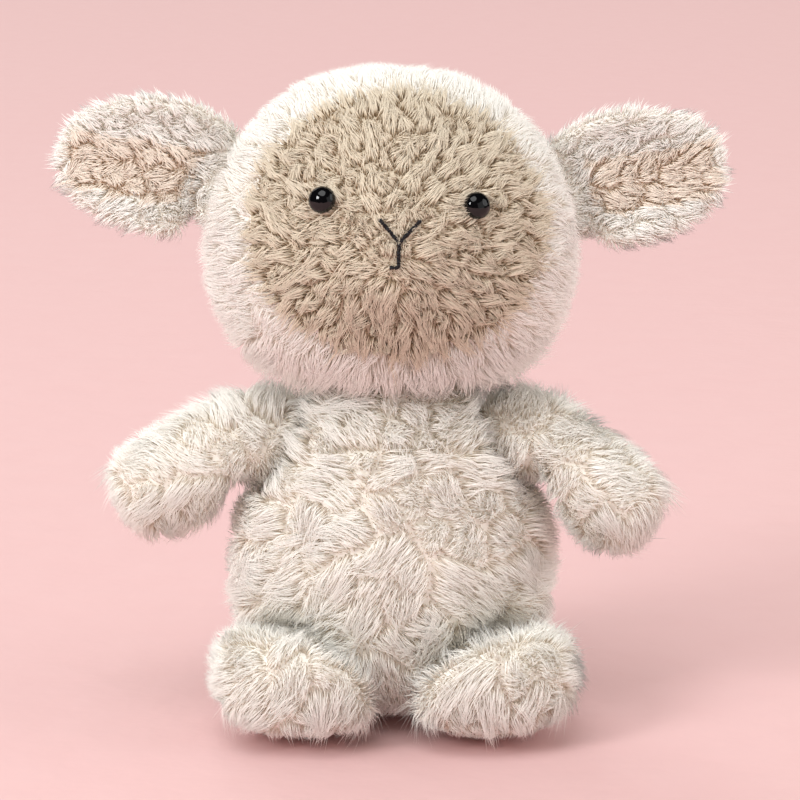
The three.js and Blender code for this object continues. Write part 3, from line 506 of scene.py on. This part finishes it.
def plush_material(key, plush):
    """Polyester plush: matt fibres, deeper and warmer towards the root as painted shade deep in the pile, and a
    soft glow where the pile turns away.
    """
    material, add = new_material(f"polyester_plush_{key}")
    chart = add("ShaderNodeUVMap", uv_map="OFBake")
    along = add("ShaderNodeSeparateXYZ", {"Vector": chart})
    # Colour runs from the roots' painted shade up to the fibres' own colour at the tips
    share = add("ShaderNodeMapRange", {"Value": along["Y"], "From Min": 0.0, "From Max": PLUSH_TIP},
                interpolation_type="SMOOTHSTEP")
    colour = add("ShaderNodeMix", {"Factor": share, "A": plush.root, "B": plush.tip}, data_type="RGBA")
    shade = add("ShaderNodeMapRange",
                {"Value": along["X"], "To Min": PLUSH_TONES[0], "To Max": PLUSH_TONES[1]})
    tinted = add(VECTOR_MATH, [colour, shade], "SCALE")
    shader = add("ShaderNodeBsdfPrincipled",
                 {"Base Color": tinted, "Roughness": 0.92, "IOR": 1.45, "Specular IOR Level": 0.2,
                  "Sheen Weight": 0.1, "Sheen Roughness": 0.5})
    add("ShaderNodeOutputMaterial", {"Surface": shader})
    return material


def plain_material(name):
    """A plain finish, made once, whose colour varies between two tones in grains of a real size."""
    if name in bpy.data.materials:
        return bpy.data.materials[name]
    tones = bpy.context.scene.lamb.finishes
    grain, roughness, highlight = FINISHES[name][2:]
    material, add = new_material(name)
    place = add("ShaderNodeTexCoord")["Object"]
    noise = add("ShaderNodeTexNoise", {"Vector": place, "Scale": 1 / (grain * MM), "Detail": 3.0})
    dark, light = getattr(tones, f"{name}_dark"), getattr(tones, f"{name}_light")
    colour = add("ShaderNodeMix", {"Factor": noise, "A": dark, "B": light}, data_type="RGBA")
    bump = add("ShaderNodeBump",
               {"Height": noise, "Distance": grain * MM * GRAIN_RELIEF, "Strength": GRAIN_RELIEF})
    shader = add("ShaderNodeBsdfPrincipled",
                 {"Base Color": colour, "Roughness": roughness, "Specular IOR Level": highlight,
                  "Normal": bump})
    add("ShaderNodeOutputMaterial", {"Surface": shader})
    return material


# Meshes

def show(name, data):
    """Puts a mesh, a camera or a lamp in the scene as an object at the origin."""
    obj = bpy.data.objects.new(name, data)
    bpy.context.scene.collection.objects.link(obj)
    return obj


def settled(obj):
    """The object's mesh with its modifiers worked in, and the modifiers gone."""
    graph = bpy.context.evaluated_depsgraph_get()
    mesh = bpy.data.meshes.new_from_object(obj.evaluated_get(graph))
    obj.modifiers.clear()
    old = obj.data
    obj.data = mesh
    bpy.data.meshes.remove(old)
    return mesh


def joined(nodes, name):
    """One mesh made of copies of CAD nodes, with each node's triangles joined up."""
    work = bmesh.new()
    for node in nodes:
        work.from_mesh(frame["nodes"][node].data)
    bmesh.ops.remove_doubles(work, verts=work.verts, dist=SAME_POINT)
    mesh = bpy.data.meshes.new(name)
    work.to_mesh(mesh)
    work.free()
    return mesh


def read(items, field):
    """The three numbers that each item has in a field, as an array."""
    values = np.empty(len(items) * 3, np.float32)
    items.foreach_get(field, values)
    return values.reshape(-1, 3).astype(float)


def read_points(mesh):
    """The mesh's points."""
    return read(mesh.vertices, "co")


def read_normals(mesh):
    """The direction out of the surface at each point."""
    return read(mesh.vertex_normals, "vector")


def write_points(mesh, points):
    """Moves the mesh's points."""
    mesh.vertices.foreach_set("co", points.astype(np.float32).ravel())
    mesh.update()


def search_tree(mesh):
    """A search tree over a mesh's faces."""
    return BVHTree.FromPolygons(read_points(mesh).tolist(), [tuple(face.vertices) for face in mesh.polygons])


def gaps(tree, points):
    """Distance from each point to the nearest surface of a search tree."""
    return np.array([tree.find_nearest(Vector(point))[3] for point in points])


def node_gaps(nodes, points):
    """Distance from each point to the nearest surface of some CAD nodes."""
    mesh = joined(nodes, "search")
    tree = search_tree(mesh)
    bpy.data.meshes.remove(mesh)
    return gaps(tree, points)


def node_points(node):
    """A CAD node's points, each once."""
    mesh = joined([node], "points")
    points = read_points(mesh)
    bpy.data.meshes.remove(mesh)
    return points


def node_middle(node):
    """Middle of a CAD node's box."""
    low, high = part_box(node)
    return np.array((low + high) / 2)


def smooth(mesh, rounds):
    """Evens out the mesh, each point moving half way to the middle of its neighbours."""
    edges = np.empty(len(mesh.edges) * 2, np.int32)
    mesh.edges.foreach_get("vertices", edges)
    ends = np.concatenate([edges.reshape(-1, 2), edges.reshape(-1, 2)[:, ::-1]])
    points = read_points(mesh)
    size = len(points)
    count = np.bincount(ends[:, 0], minlength=size)[:, None]
    for _ in range(rounds):
        total = [np.bincount(ends[:, 0], points[ends[:, 1], axis], size) for axis in range(3)]
        points += 0.5 * (np.stack(total, 1) / count - points)
    write_points(mesh, points)


def outer_skin(body, voxel):
    """The closed outer surface of a body's CAD nodes, remeshed evenly and smoothed."""
    obj = show(f"{body}_skin", joined(BODIES[body], f"{body}_skin"))
    remesh = obj.modifiers.new("even", "REMESH")
    remesh.mode = "VOXEL"
    remesh.voxel_size = voxel
    mesh = settled(obj)

    # Only the largest island is the outside
    work = bmesh.new()
    work.from_mesh(mesh)
    left = set(work.verts)
    islands = []
    while left:
        front = [left.pop()]
        island = set(front)
        while front:
            near = {edge.other_vert(vert) for vert in front for edge in vert.link_edges} & left
            left -= near
            island |= near
            front = list(near)
        islands.append(island)
    largest = max(islands, key=len)
    bmesh.ops.delete(work, geom=[vert for vert in work.verts if vert not in largest], context="VERTS")
    work.to_mesh(mesh)
    work.free()
    smooth(mesh, SKIN_ROUNDS)
    return obj


def sink(mesh, depth):
    """Moves the skin inwards in small steps that round off its edges, to a depth at each point."""
    form = search_tree(mesh)
    smooth(mesh, SINK_STEPS)
    for _ in range(SINK_STEPS):
        inward = read_normals(mesh) * (depth * SINK_SHARE / SINK_STEPS)[:, None]
        write_points(mesh, read_points(mesh) - inward)
        smooth(mesh, SINK_STEPS // 2)
    for _ in range(SINK_STEPS):
        points = read_points(mesh)
        missing = np.clip(gaps(form, points) - depth, -SINK_CATCH, SINK_CATCH)
        write_points(mesh, points + read_normals(mesh) * missing[:, None])
        smooth(mesh, 1)


def panel_shell(name, mesh, chosen, values):
    """A closed panel of backing: the chosen faces of the skin, an inner side and a rim round the edge."""
    faces = [tuple(mesh.polygons[i].vertices) for i in chosen]
    used = sorted({point for face in faces for point in face})
    number = {point: i for i, point in enumerate(used)}
    top = [tuple(number[point] for point in face) for face in faces]
    size = len(used)
    inner = [tuple(point + size for point in reversed(face)) for face in top]
    sides = {(a, b) for face in top for a, b in zip(face, face[1:] + face[:1])}
    rim = [(b, a, a + size, b + size) for a, b in sides if (b, a) not in sides]
    outside = read_points(mesh)[used]
    inside = outside - read_normals(mesh)[used] * BACKING
    shell = bpy.data.meshes.new(name)
    shell.from_pydata(np.concatenate([outside, inside]).tolist(), [], top + inner + rim, shade_flat=False)

    # The rim is flat, because a rim shaded as one with the panel draws a dark line along the seam
    for key, flags in (
        ("outer", [True] * len(top) + [False] * (len(inner) + len(rim))),
        ("sharp_face", [False] * (len(top) + len(inner)) + [True] * len(rim)),
    ):
        shell.attributes.new(key, "BOOLEAN", "FACE").data.foreach_set("value", flags)
    for key, kind in TOLD.items():
        field = "vector" if kind == WAY else "value"
        data = np.concatenate([values[key][used], values[key][used]]).astype(np.float32)
        shell.attributes.new(key, kind, "POINT").data.foreach_set(field, data.ravel())

    # The chart that the strands share: tone to the right and height along a strand upwards
    chart = shell.uv_layers.new(name="OFBake")
    corners = np.empty(len(shell.loops), np.int32)
    shell.loops.foreach_get("vertex_index", corners)
    x, y, z = (np.concatenate([outside, outside])[corners] * BACKING_WAVES).T
    tone = BACKING_TONE[0] + BACKING_TONE[1] * np.sin(x + y)
    # The backing's colour sits low on that run, with part of the roots' painted shade
    depth = BACKING_SHADE[0] + BACKING_SHADE[1] * np.sin(z)
    chart.data.foreach_set("uv", np.stack([tone, depth], 1).astype(np.float32).ravel())
    return shell


def grow_pile(name, shell, plush, material, seed):
    """A finished plush piece: the panel with its strands as one mesh."""
    obj = show(name, shell)
    sizes = {size: getattr(plush, size) for size in PILE_SIZES}
    sizes["count"] /= MM ** 2
    mesh = grown(obj, pile_tree, "plush_pile", {**sizes, "Seed": seed, "Material": material})
    for key in ("outer", "height", *TOLD, *KEPT):
        found = mesh.attributes.get(key)
        if found is not None:
            mesh.attributes.remove(found)
    mesh.name = name
    return obj


def over_skin(skin, points):
    """How far each point stands above a skin, and the skin's direction there."""
    cover = search_tree(skin)
    found = [cover.find_nearest(Vector(point)) for point in points]
    spots = np.array([hit[0] for hit in found])
    normals = np.array([hit[1] for hit in found])
    return np.sum((points - spots) * normals, axis=1), normals


def stand_for(piece, node, body):
    """Makes a finished piece stand for a CAD node on its body."""
    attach(piece, body)
    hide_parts(node)


def coat(mesh, finish):
    """Gives a mesh one plain finish."""
    mesh.materials.clear()
    mesh.materials.append(plain_material(finish))


def tuck_filling(body, skin):
    """The body's filling, drawn in wherever it would come through the backing."""
    node = FILLINGS[body]
    name = f"{node}_fibre"
    mesh = joined([node], name)
    points = read_points(mesh)
    heights, normals = over_skin(skin, points)
    write_points(mesh, points - normals * np.maximum(heights + FILLING_DEPTH, 0)[:, None])
    coat(mesh, "polyester_fibre_filling")
    stand_for(show(name, mesh), node, body)


def lay_closing_stitch(skin):
    """The closing stitch, let down into the pile."""
    name = "closing_stitch_thread"
    mesh = joined(["closing_stitch"], name)
    points = read_points(mesh)
    heights, normals = over_skin(skin, points)
    write_points(mesh, points - normals * (np.median(heights) - CLOSING_HEIGHT))
    coat(mesh, "cream_sewing_thread")
    stand_for(show(name, mesh), "closing_stitch", "torso")


def dress(body, kinds, comb, sunk=None, trim=None, seam=None, firm=None, shift=0.0):
    """Plush for one body: its CAD panels, each with the plush kind given, over one smooth skin.

    comb gives the way the pile falls, sunk the backing's own form, trim changes the pile's values in place,
    seam moves the first panel's edge, firm gives the share of the pile's depth, and shift moves the plush
    across.
    """
    settings = bpy.context.scene.lamb
    voxel, fill, seed = SKINS[body]
    skin = outer_skin(body, voxel)
    mesh = skin.data
    points = read_points(mesh)
    others = [node for name, nodes in BODIES.items() if name != body for node in nodes]
    span = node_gaps(others, points)
    lift = rising(FLOOR_LIFT, ramp(points[:, 2], 0.0, FLOOR_RISE))
    room = rising(NEAR_DEPTH, ramp(span, SEWN_REACH, FREE_REACH)) * lift
    centres = np.array([face.center for face in mesh.polygons])
    panels = list(kinds)
    reach = [node_gaps([panel], centres) for panel in panels]
    if seam is not None:
        reach[0] += seam(centres, np.array([face.normal for face in mesh.polygons]))
    nearest = np.argmin(reach, axis=0)
    depth = getattr(settings, kinds[panels[0]]).depth
    if firm is not None:
        depth = depth * firm(points)
    if sunk is None:
        sink(mesh, depth * room)
    else:
        write_points(mesh, sunk(points))
    write_points(mesh, read_points(mesh) + np.array([shift, 0, 0]))

    points = read_points(mesh)
    normals = read_normals(mesh)
    rests = (points[:, 2] < REST_HEIGHT) & (normals[:, 2] < REST_TURN)
    values = {
        "comb": tangent(comb(points, normals), normals),
        "pile": rising(NEAR_LENGTH, room) * lift,
        "thick": np.where(rests, HIDDEN_PILE, 1.0) * ramp(span, SEWN_REACH, BARE_REACH),
    }
    if trim is not None:
        trim(points, normals, **values)
    for i, panel in enumerate(panels):
        kind = kinds[panel]
        plush = getattr(settings, kind)
        name = f"{panel}_plush"
        chosen = np.flatnonzero(nearest == i)
        if not len(chosen):
            raise RuntimeError(f"no face of the skin lies on {panel}")
        shell = panel_shell(name, mesh, chosen, dict(values, comb=values["comb"] * plush.lean))
        material = bpy.data.materials.get(f"polyester_plush_{kind}") or plush_material(kind, plush)
        piece = grow_pile(name, shell, plush, material, seed + i)
        stand_for(piece, panel, body)
    if body in FILLINGS:
        tuck_filling(body, mesh)
    if "closing_stitch" in BODIES[body]:
        lay_closing_stitch(mesh)
    bpy.data.objects.remove(skin)


# What a user can change

def colour_property(label, note, hex_code):
    """A colour that a user can change."""
    return bpy.props.FloatVectorProperty(
        name=label, description=note, subtype="COLOR", size=4, default=linear(hex_code))


def plush_group(key, values):
    """A property group with the sizes and colours of one plush."""
    notes = {}
    for (name, label, note, unit_kind), value in zip(PLUSH_FIELDS, values):
        if unit_kind == "COLOR":
            notes[name] = colour_property(label, note, value)
        else:
            scale = MM if unit_kind == "LENGTH" else 1
            notes[name] = bpy.props.FloatProperty(
                name=label, description=note, default=value * scale, unit=unit_kind)
    return type(f"Lamb{key.title()}Plush", (bpy.types.PropertyGroup,), {"__annotations__": notes})


def finish_notes():
    """The two tones of each plain finish, as properties."""
    notes = {}
    for name, (light, dark, *_) in FINISHES.items():
        label = name.replace("_", " ").capitalize()
        notes[f"{name}_light"] = colour_property(f"{label}, light", "Lighter tone of the grain", light)
        notes[f"{name}_dark"] = colour_property(f"{label}, dark", "Darker tone of the grain", dark)
    return notes


PLUSH_GROUPS = {key: plush_group(key, values) for key, values in PLUSHES.items()}


class LambFinishes(bpy.types.PropertyGroup):
    """Colours of the lamb's plain finishes."""

    __annotations__ = finish_notes()


class LambThread(bpy.types.PropertyGroup):
    """Sizes of the thread of nose and mouth."""

    radius: bpy.props.FloatProperty(
        name="Thread radius", description="Half the width of the thread of nose and mouth",
        default=THREAD_RADIUS, unit="LENGTH")
    twist: bpy.props.FloatProperty(
        name="Twist length", description="Length of one turn of the plies round each other",
        default=THREAD_TWIST, unit="LENGTH")


SETTING_GROUPS = {**PLUSH_GROUPS, "thread": LambThread, "finishes": LambFinishes}


class LambSettings(bpy.types.PropertyGroup):
    """Sizes and colours of the lamb's visible parts."""

    __annotations__ = {key: bpy.props.PointerProperty(type=group) for key, group in SETTING_GROUPS.items()}


# Operators

class LambTorso(bpy.types.Operator):
    """Plush for the body"""

    bl_idname = "lamb.torso"
    bl_label = "Body plush"

    def execute(self, context):
        whorl = np.array([WHORL[0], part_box("body_front")[0][1], WHORL[1]])

        def comb(points, normals):
            away = tangent(points - whorl, normals)
            away = unit(away) * ramp(np.linalg.norm(away, axis=1), 0, WHORL_REACH)[:, None]
            behind = ramp(points[:, 1], *BACK_RANGE)[:, None]
            return WHORL_COMB * away * (1 - behind) + np.array([0, 0, -BODY_FALL])

        def trim(points, normals, comb, pile, thick):
            shoulder = ramp(points[:, 2], *SHOULDER_RANGE)
            pile *= 1 + SHOULDER_LENGTH * shoulder
            comb *= (1 - SHOULDER_CALM * shoulder)[:, None]

        kinds = dict.fromkeys(("body_front", "body_back_left", "body_back_right", "body_base"), "body")
        dress("torso", kinds, comb, trim=trim)
        return {"FINISHED"}


class LambHead(bpy.types.Operator):
    """Plush for face and hood"""

    bl_idname = "lamb.head"
    bl_label = "Face and hood plush"

    def execute(self, context):
        nose = node_middle("mouth_stitch")
        eyes = np.array([node_middle(f"eye_{side}") for side in SIDES])
        threads = np.concatenate([node_points(node) for node in STITCHES])

        def comb(points, normals):
            behind = ramp(points[:, 1], *BACK_RANGE)[:, None]
            away = unit(tangent(points - nose, normals)) * (1 - behind)
            return away + np.array([0, 0, -HEAD_FALL]) * (1 + BACK_FALL * behind)

        def aside(points, normals, spots):
            """Distance along the surface from each point to the nearest spot, and the way from there."""
            offsets = points[:, None, :] - spots[None, :, :]
            normals = normals[:, None, :]
            flat = offsets - normals * np.sum(offsets * normals, axis=2, keepdims=True)
            spans = np.linalg.norm(flat, axis=2)
            near = np.argmin(spans, axis=1)
            rows = np.arange(len(points))
            return spans[rows, near], unit(flat[rows, near])

        def trim(points, normals, comb, pile, thick):
            pile *= 1 + UNDER_LENGTH * ramp(-normals[:, 2], *UNDER_RANGE)
            front = ramp(-points[:, 1], *FACE_RANGE)
            for spots, (clear, free, least, push) in ((eyes, EYE_PILE), (threads, STITCH_PILE)):
                span, away = aside(points, normals, spots)
                share = np.where(front > 0, ramp(span, clear, free), 1.0)
                pile *= rising(least, share)
                comb += away * (push * (1 - share))[:, None]
            eye_span, _ = aside(points, normals, eyes)
            thick *= np.where((eye_span < EYE_BARE) & (front > 0), 0.0, 1.0)

        def firm(points):
            span = np.min(np.linalg.norm(points[:, None, :] - threads[None, :, :], axis=2), axis=1)
            return rising(MUZZLE_DEPTH, ramp(span, *MUZZLE_RANGE))

        kinds = {"face_panel": "face", "hood_left": "hood", "hood_right": "hood"}
        dress("head", kinds, comb, trim=trim, firm=firm)
        return {"FINISHED"}


class LambEars(bpy.types.Operator):
    """Plush for the ears"""

    bl_idname = "lamb.ears"
    bl_label = "Ear plush"

    def execute(self, context):
        for side in SIDES:
            body = f"ear_{side}"
            pivot = PIVOTS[body]
            across = unit(AXES[body])
            middle = (node_middle(f"{body}_lining") + node_middle(f"{body}_outer")) / 2 - pivot
            along = unit(middle - across * (middle @ across))
            through = np.cross(across, along)
            if through[1] > 0:
                through = -through
            axes = np.stack([along, across, through])

            def sunk(points):
                local = (points - pivot) @ axes.T
                local[:, 2] -= EAR_CUP * (local[:, 1] / EAR_HALF_WIDTH) ** 2
                local *= EAR_SHARES
                local[:, 2] += EAR_HOLLOW * (local[:, 1] / EAR_HALF_WIDTH) ** 2
                return pivot + local @ axes

            def comb(points, normals):
                rim = across * np.sign((points - pivot) @ across)[:, None]
                return along + EAR_RIM_COMB * rim

            def seam(points, normals):
                height = (points - pivot) @ across * np.sign(across[2])
                behind = normals @ through < EAR_FRONT
                return np.where(behind | (height > EAR_LIP) | (height < EAR_FRINGE), EAR_APART, 0.0)

            kinds = {f"{body}_lining": "lining", f"{body}_outer": "ear"}
            dress(body, kinds, comb, sunk=sunk, seam=seam)
        return {"FINISHED"}


class LambArms(bpy.types.Operator):
    """Plush for the arms"""

    bl_idname = "lamb.arms"
    bl_label = "Arm plush"

    def execute(self, context):
        for side in SIDES:
            body = f"arm_{side}"
            root = PIVOTS[body]
            along = unit(node_middle(f"{body}_front") + node_middle(f"{body}_back") - 2 * root)

            def comb(points, normals):
                return np.tile(along + np.array([0, 0, -ARM_FALL]), (len(points), 1))

            def trim(points, normals, comb, pile, thick):
                shoulder = 1 - ramp((points - root) @ along, *ARM_ROOT)
                pile *= 1 + ARM_ROOT_LENGTH * shoulder
                comb *= (1 - ARM_ROOT_CALM * shoulder)[:, None]
                pile *= 1 - ARM_TIP_CUT * ramp(normals @ along, *ARM_TIP)

            dress(body, {f"{body}_front": "limb", f"{body}_back": "limb"}, comb, trim=trim)
        return {"FINISHED"}


class LambLegs(bpy.types.Operator):
    """Plush for the legs"""

    bl_idname = "lamb.legs"
    bl_label = "Leg plush"

    def execute(self, context):
        for side in SIDES:
            body = f"leg_{side}"
            crown = PIVOTS[body] + np.array(LEG_CROWN)
            inward = np.array([-np.sign(PIVOTS[body][0]), 0, 0])

            def comb(points, normals):
                return unit(tangent(points - crown, normals))

            def trim(points, normals, comb, pile, thick):
                toe = ramp(points[:, 2], *TOE_RANGE)
                inner = LEG_INNER_LENGTH * ramp(normals @ inward, *LEG_INNER)
                pile *= (LEG_LENGTH + inner) * rising(TOE_LENGTH, toe)
                comb *= rising(TOE_COMB, toe)[:, None]

            kinds = {f"{body}_upper": "limb", f"{body}_sole": "limb"}
            dress(body, kinds, comb, trim=trim, shift=LEG_SHIFTS[side])
        return {"FINISHED"}


class LambTail(bpy.types.Operator):
    """Plush for the tail"""

    bl_idname = "lamb.tail"
    bl_label = "Tail plush"

    def execute(self, context):
        along = unit(node_middle("tail") - PIVOTS["tail"])

        def comb(points, normals):
            return np.tile(TAIL_COMB * along, (len(points), 1))

        def firm(points):
            return np.full(len(points), TAIL_DEPTH)

        def trim(points, normals, comb, pile, thick):
            pile *= TAIL_LENGTH

        dress("tail", {"tail": "limb"}, comb, trim=trim, firm=firm)
        return {"FINISHED"}


class LambEyes(bpy.types.Operator):
    """Polished safety eyes"""

    bl_idname = "lamb.eyes"
    bl_label = "Eyes"

    def execute(self, context):
        for side in SIDES:
            eye = show(f"eye_{side}_dome", joined([f"eye_{side}"], f"eye_{side}_dome"))
            round_off = eye.modifiers.new("round", "SUBSURF")
            round_off.levels = EYE_LEVELS
            round_off.render_levels = EYE_LEVELS
            mesh = settled(eye)
            mesh.shade_smooth()
            coat(mesh, "polished_black_acrylic")
            stand_for(eye, f"eye_{side}", "head")
        return {"FINISHED"}


class LambStitches(bpy.types.Operator):
    """Backstitched nose and mouth"""

    bl_idname = "lamb.stitches"
    bl_label = "Nose and mouth stitches"

    def execute(self, context):
        sizes = context.scene.lamb.thread
        ends = {}
        for node in STITCHES:
            points = node_points(node)
            middle = points.mean(axis=0)
            along = np.linalg.svd(points - middle)[2][0]
            reach = (points - middle) @ along
            tips = [middle + along * reach.min(), middle + along * reach.max()]
            ends[node] = sorted(tips, key=lambda tip: -tip[2])
        fork = (ends["nose_stitch_left"][1] + ends["nose_stitch_right"][1] + ends["mouth_stitch"][0]) / 3
        corner = min(ends["mouth_corner_stitch"], key=lambda tip: tip[0])
        foot = ends["mouth_stitch"][1]
        runs = {
            "nose_stitch_left": (ends["nose_stitch_left"][0], fork, STITCH_COUNT),
            "nose_stitch_right": (ends["nose_stitch_right"][0], fork, STITCH_COUNT),
            "mouth_stitch": (fork, foot, STITCH_COUNT),
            "mouth_corner_stitch": (foot, foot + (corner - foot) * CORNER_SHARE, 1),
        }
        for node, (start, end, count) in runs.items():
            points = []
            edges = []
            for i in range(count):
                first = len(points)
                for share, height in STITCH_COURSE:
                    points.append(start + (end - start) * (i + share) / count + STITCH_OUT * height * MM)
                edges += [(j, j + 1) for j in range(first, len(points) - 1)]
            mesh = bpy.data.meshes.new(node)
            mesh.from_pydata(np.array(points).tolist(), edges, [])
            thread = show(f"{node}_thread", mesh)
            grown(thread, thread_tree, "twisted_thread", {
                "radius": sizes.radius,
                "twist": sizes.twist,
                "Material": plain_material("black_embroidery_thread"),
            })
            stand_for(thread, node, "head")
        return {"FINISHED"}


class LambInside(bpy.types.Operator):
    """Finishes for the pouch, the sewing threads and the eyes' washers"""

    bl_idname = "lamb.inside"
    bl_label = "Pouch, sewing threads and washers"

    def execute(self, context):
        for slot, finish in INSIDE_FINISHES.items():
            parts = [part for part in frame["record"]["subparts"] if part["material_slot"] == slot]
            if not parts:
                raise RuntimeError(f"no node has the material slot {slot}")
            for part in parts:
                coat(frame["nodes"][part["node"]].data, finish)
        return {"FINISHED"}


class LambStage(bpy.types.Operator):
    """Floor, soft light and camera"""

    bl_idname = "lamb.stage"
    bl_label = "Stage"

    def execute(self, context):
        scene = context.scene
        corners = [(x * FLOOR_REACH, y * FLOOR_REACH, 0.0) for x, y in ((-1, -1), (1, -1), (1, 1), (-1, 1))]
        mesh = bpy.data.meshes.new("floor")
        mesh.from_pydata(corners, [], [(0, 1, 2, 3)])
        floor = show("floor", mesh)
        coat(mesh, "pale_blush_paper")

        camera = show("camera", bpy.data.cameras.new("camera"))
        camera.data.lens = CAMERA_LENS
        camera.data.sensor_width = CAMERA_SENSOR
        camera.location = AIM + Vector((0, -math.cos(CAMERA_TILT), math.sin(CAMERA_TILT)))
        camera.rotation_euler = (math.pi / 2 - CAMERA_TILT, 0, 0)
        scene.camera = camera

        for name, (place, size, power) in AREA_LAMPS.items():
            data = bpy.data.lights.new(name, "AREA")
            data.size = size
            data.energy = power
            lamp = show(name, data)
            lamp.location = place
            lamp.rotation_euler = (AIM - lamp.location).to_track_quat("-Z", "Y").to_euler()
        for name, (way, power) in SUNS.items():
            data = bpy.data.lights.new(name, "SUN")
            data.energy = power
            data.angle = SUN_WIDTH
            lamp = show(name, data)
            lamp.rotation_euler = Vector(way).to_track_quat("-Z", "Y").to_euler()

        # The room's light is hidden from mirrors, so that the black eyes show the lamps alone
        world = bpy.data.worlds.new("soft_room")
        scene.world = world
        world.use_nodes = True
        background = world.node_tree.nodes["Background"]
        background.inputs["Color"].default_value = linear(ROOM_COLOUR)
        background.inputs["Strength"].default_value = ROOM_LIGHT
        world.cycles_visibility.glossy = False
        scene.view_settings.view_transform = "Standard"
        scene.cycles.max_bounces = LIGHT_BOUNCES
        scene.cycles.diffuse_bounces = PILE_BOUNCES
        return {"FINISHED"}


OPERATORS = (LambStage, LambTorso, LambHead, LambEars, LambArms, LambLegs, LambTail, LambEyes, LambStitches,
             LambInside)


class LambPanel(bpy.types.Panel):
    """Lists the lamb's pieces and settings in the sidebar"""

    bl_idname = "VIEW3D_PT_lamb"
    bl_label = "Plush lamb"
    bl_space_type = "VIEW_3D"
    bl_region_type = "UI"
    bl_category = "Lamb"

    def draw(self, context):
        for operator in OPERATORS:
            self.layout.operator(operator.bl_idname)
        for key, kind in SETTING_GROUPS.items():
            box = self.layout.box()
            box.label(text=key.title())
            for name in kind.__annotations__:
                box.prop(getattr(context.scene.lamb, key), name)


CLASSES = (*SETTING_GROUPS.values(), LambSettings, *OPERATORS, LambPanel)


def register():
    for item in CLASSES:
        bpy.utils.register_class(item)
    bpy.types.Scene.lamb = bpy.props.PointerProperty(type=LambSettings)


def unregister():
    del bpy.types.Scene.lamb
    for item in reversed(CLASSES):
        bpy.utils.unregister_class(item)


def main():
    register()
    for operator in OPERATORS:
        group, name = operator.bl_idname.split(".")
        getattr(getattr(bpy.ops, group), name)()


if __name__ == "__main__":
    main()
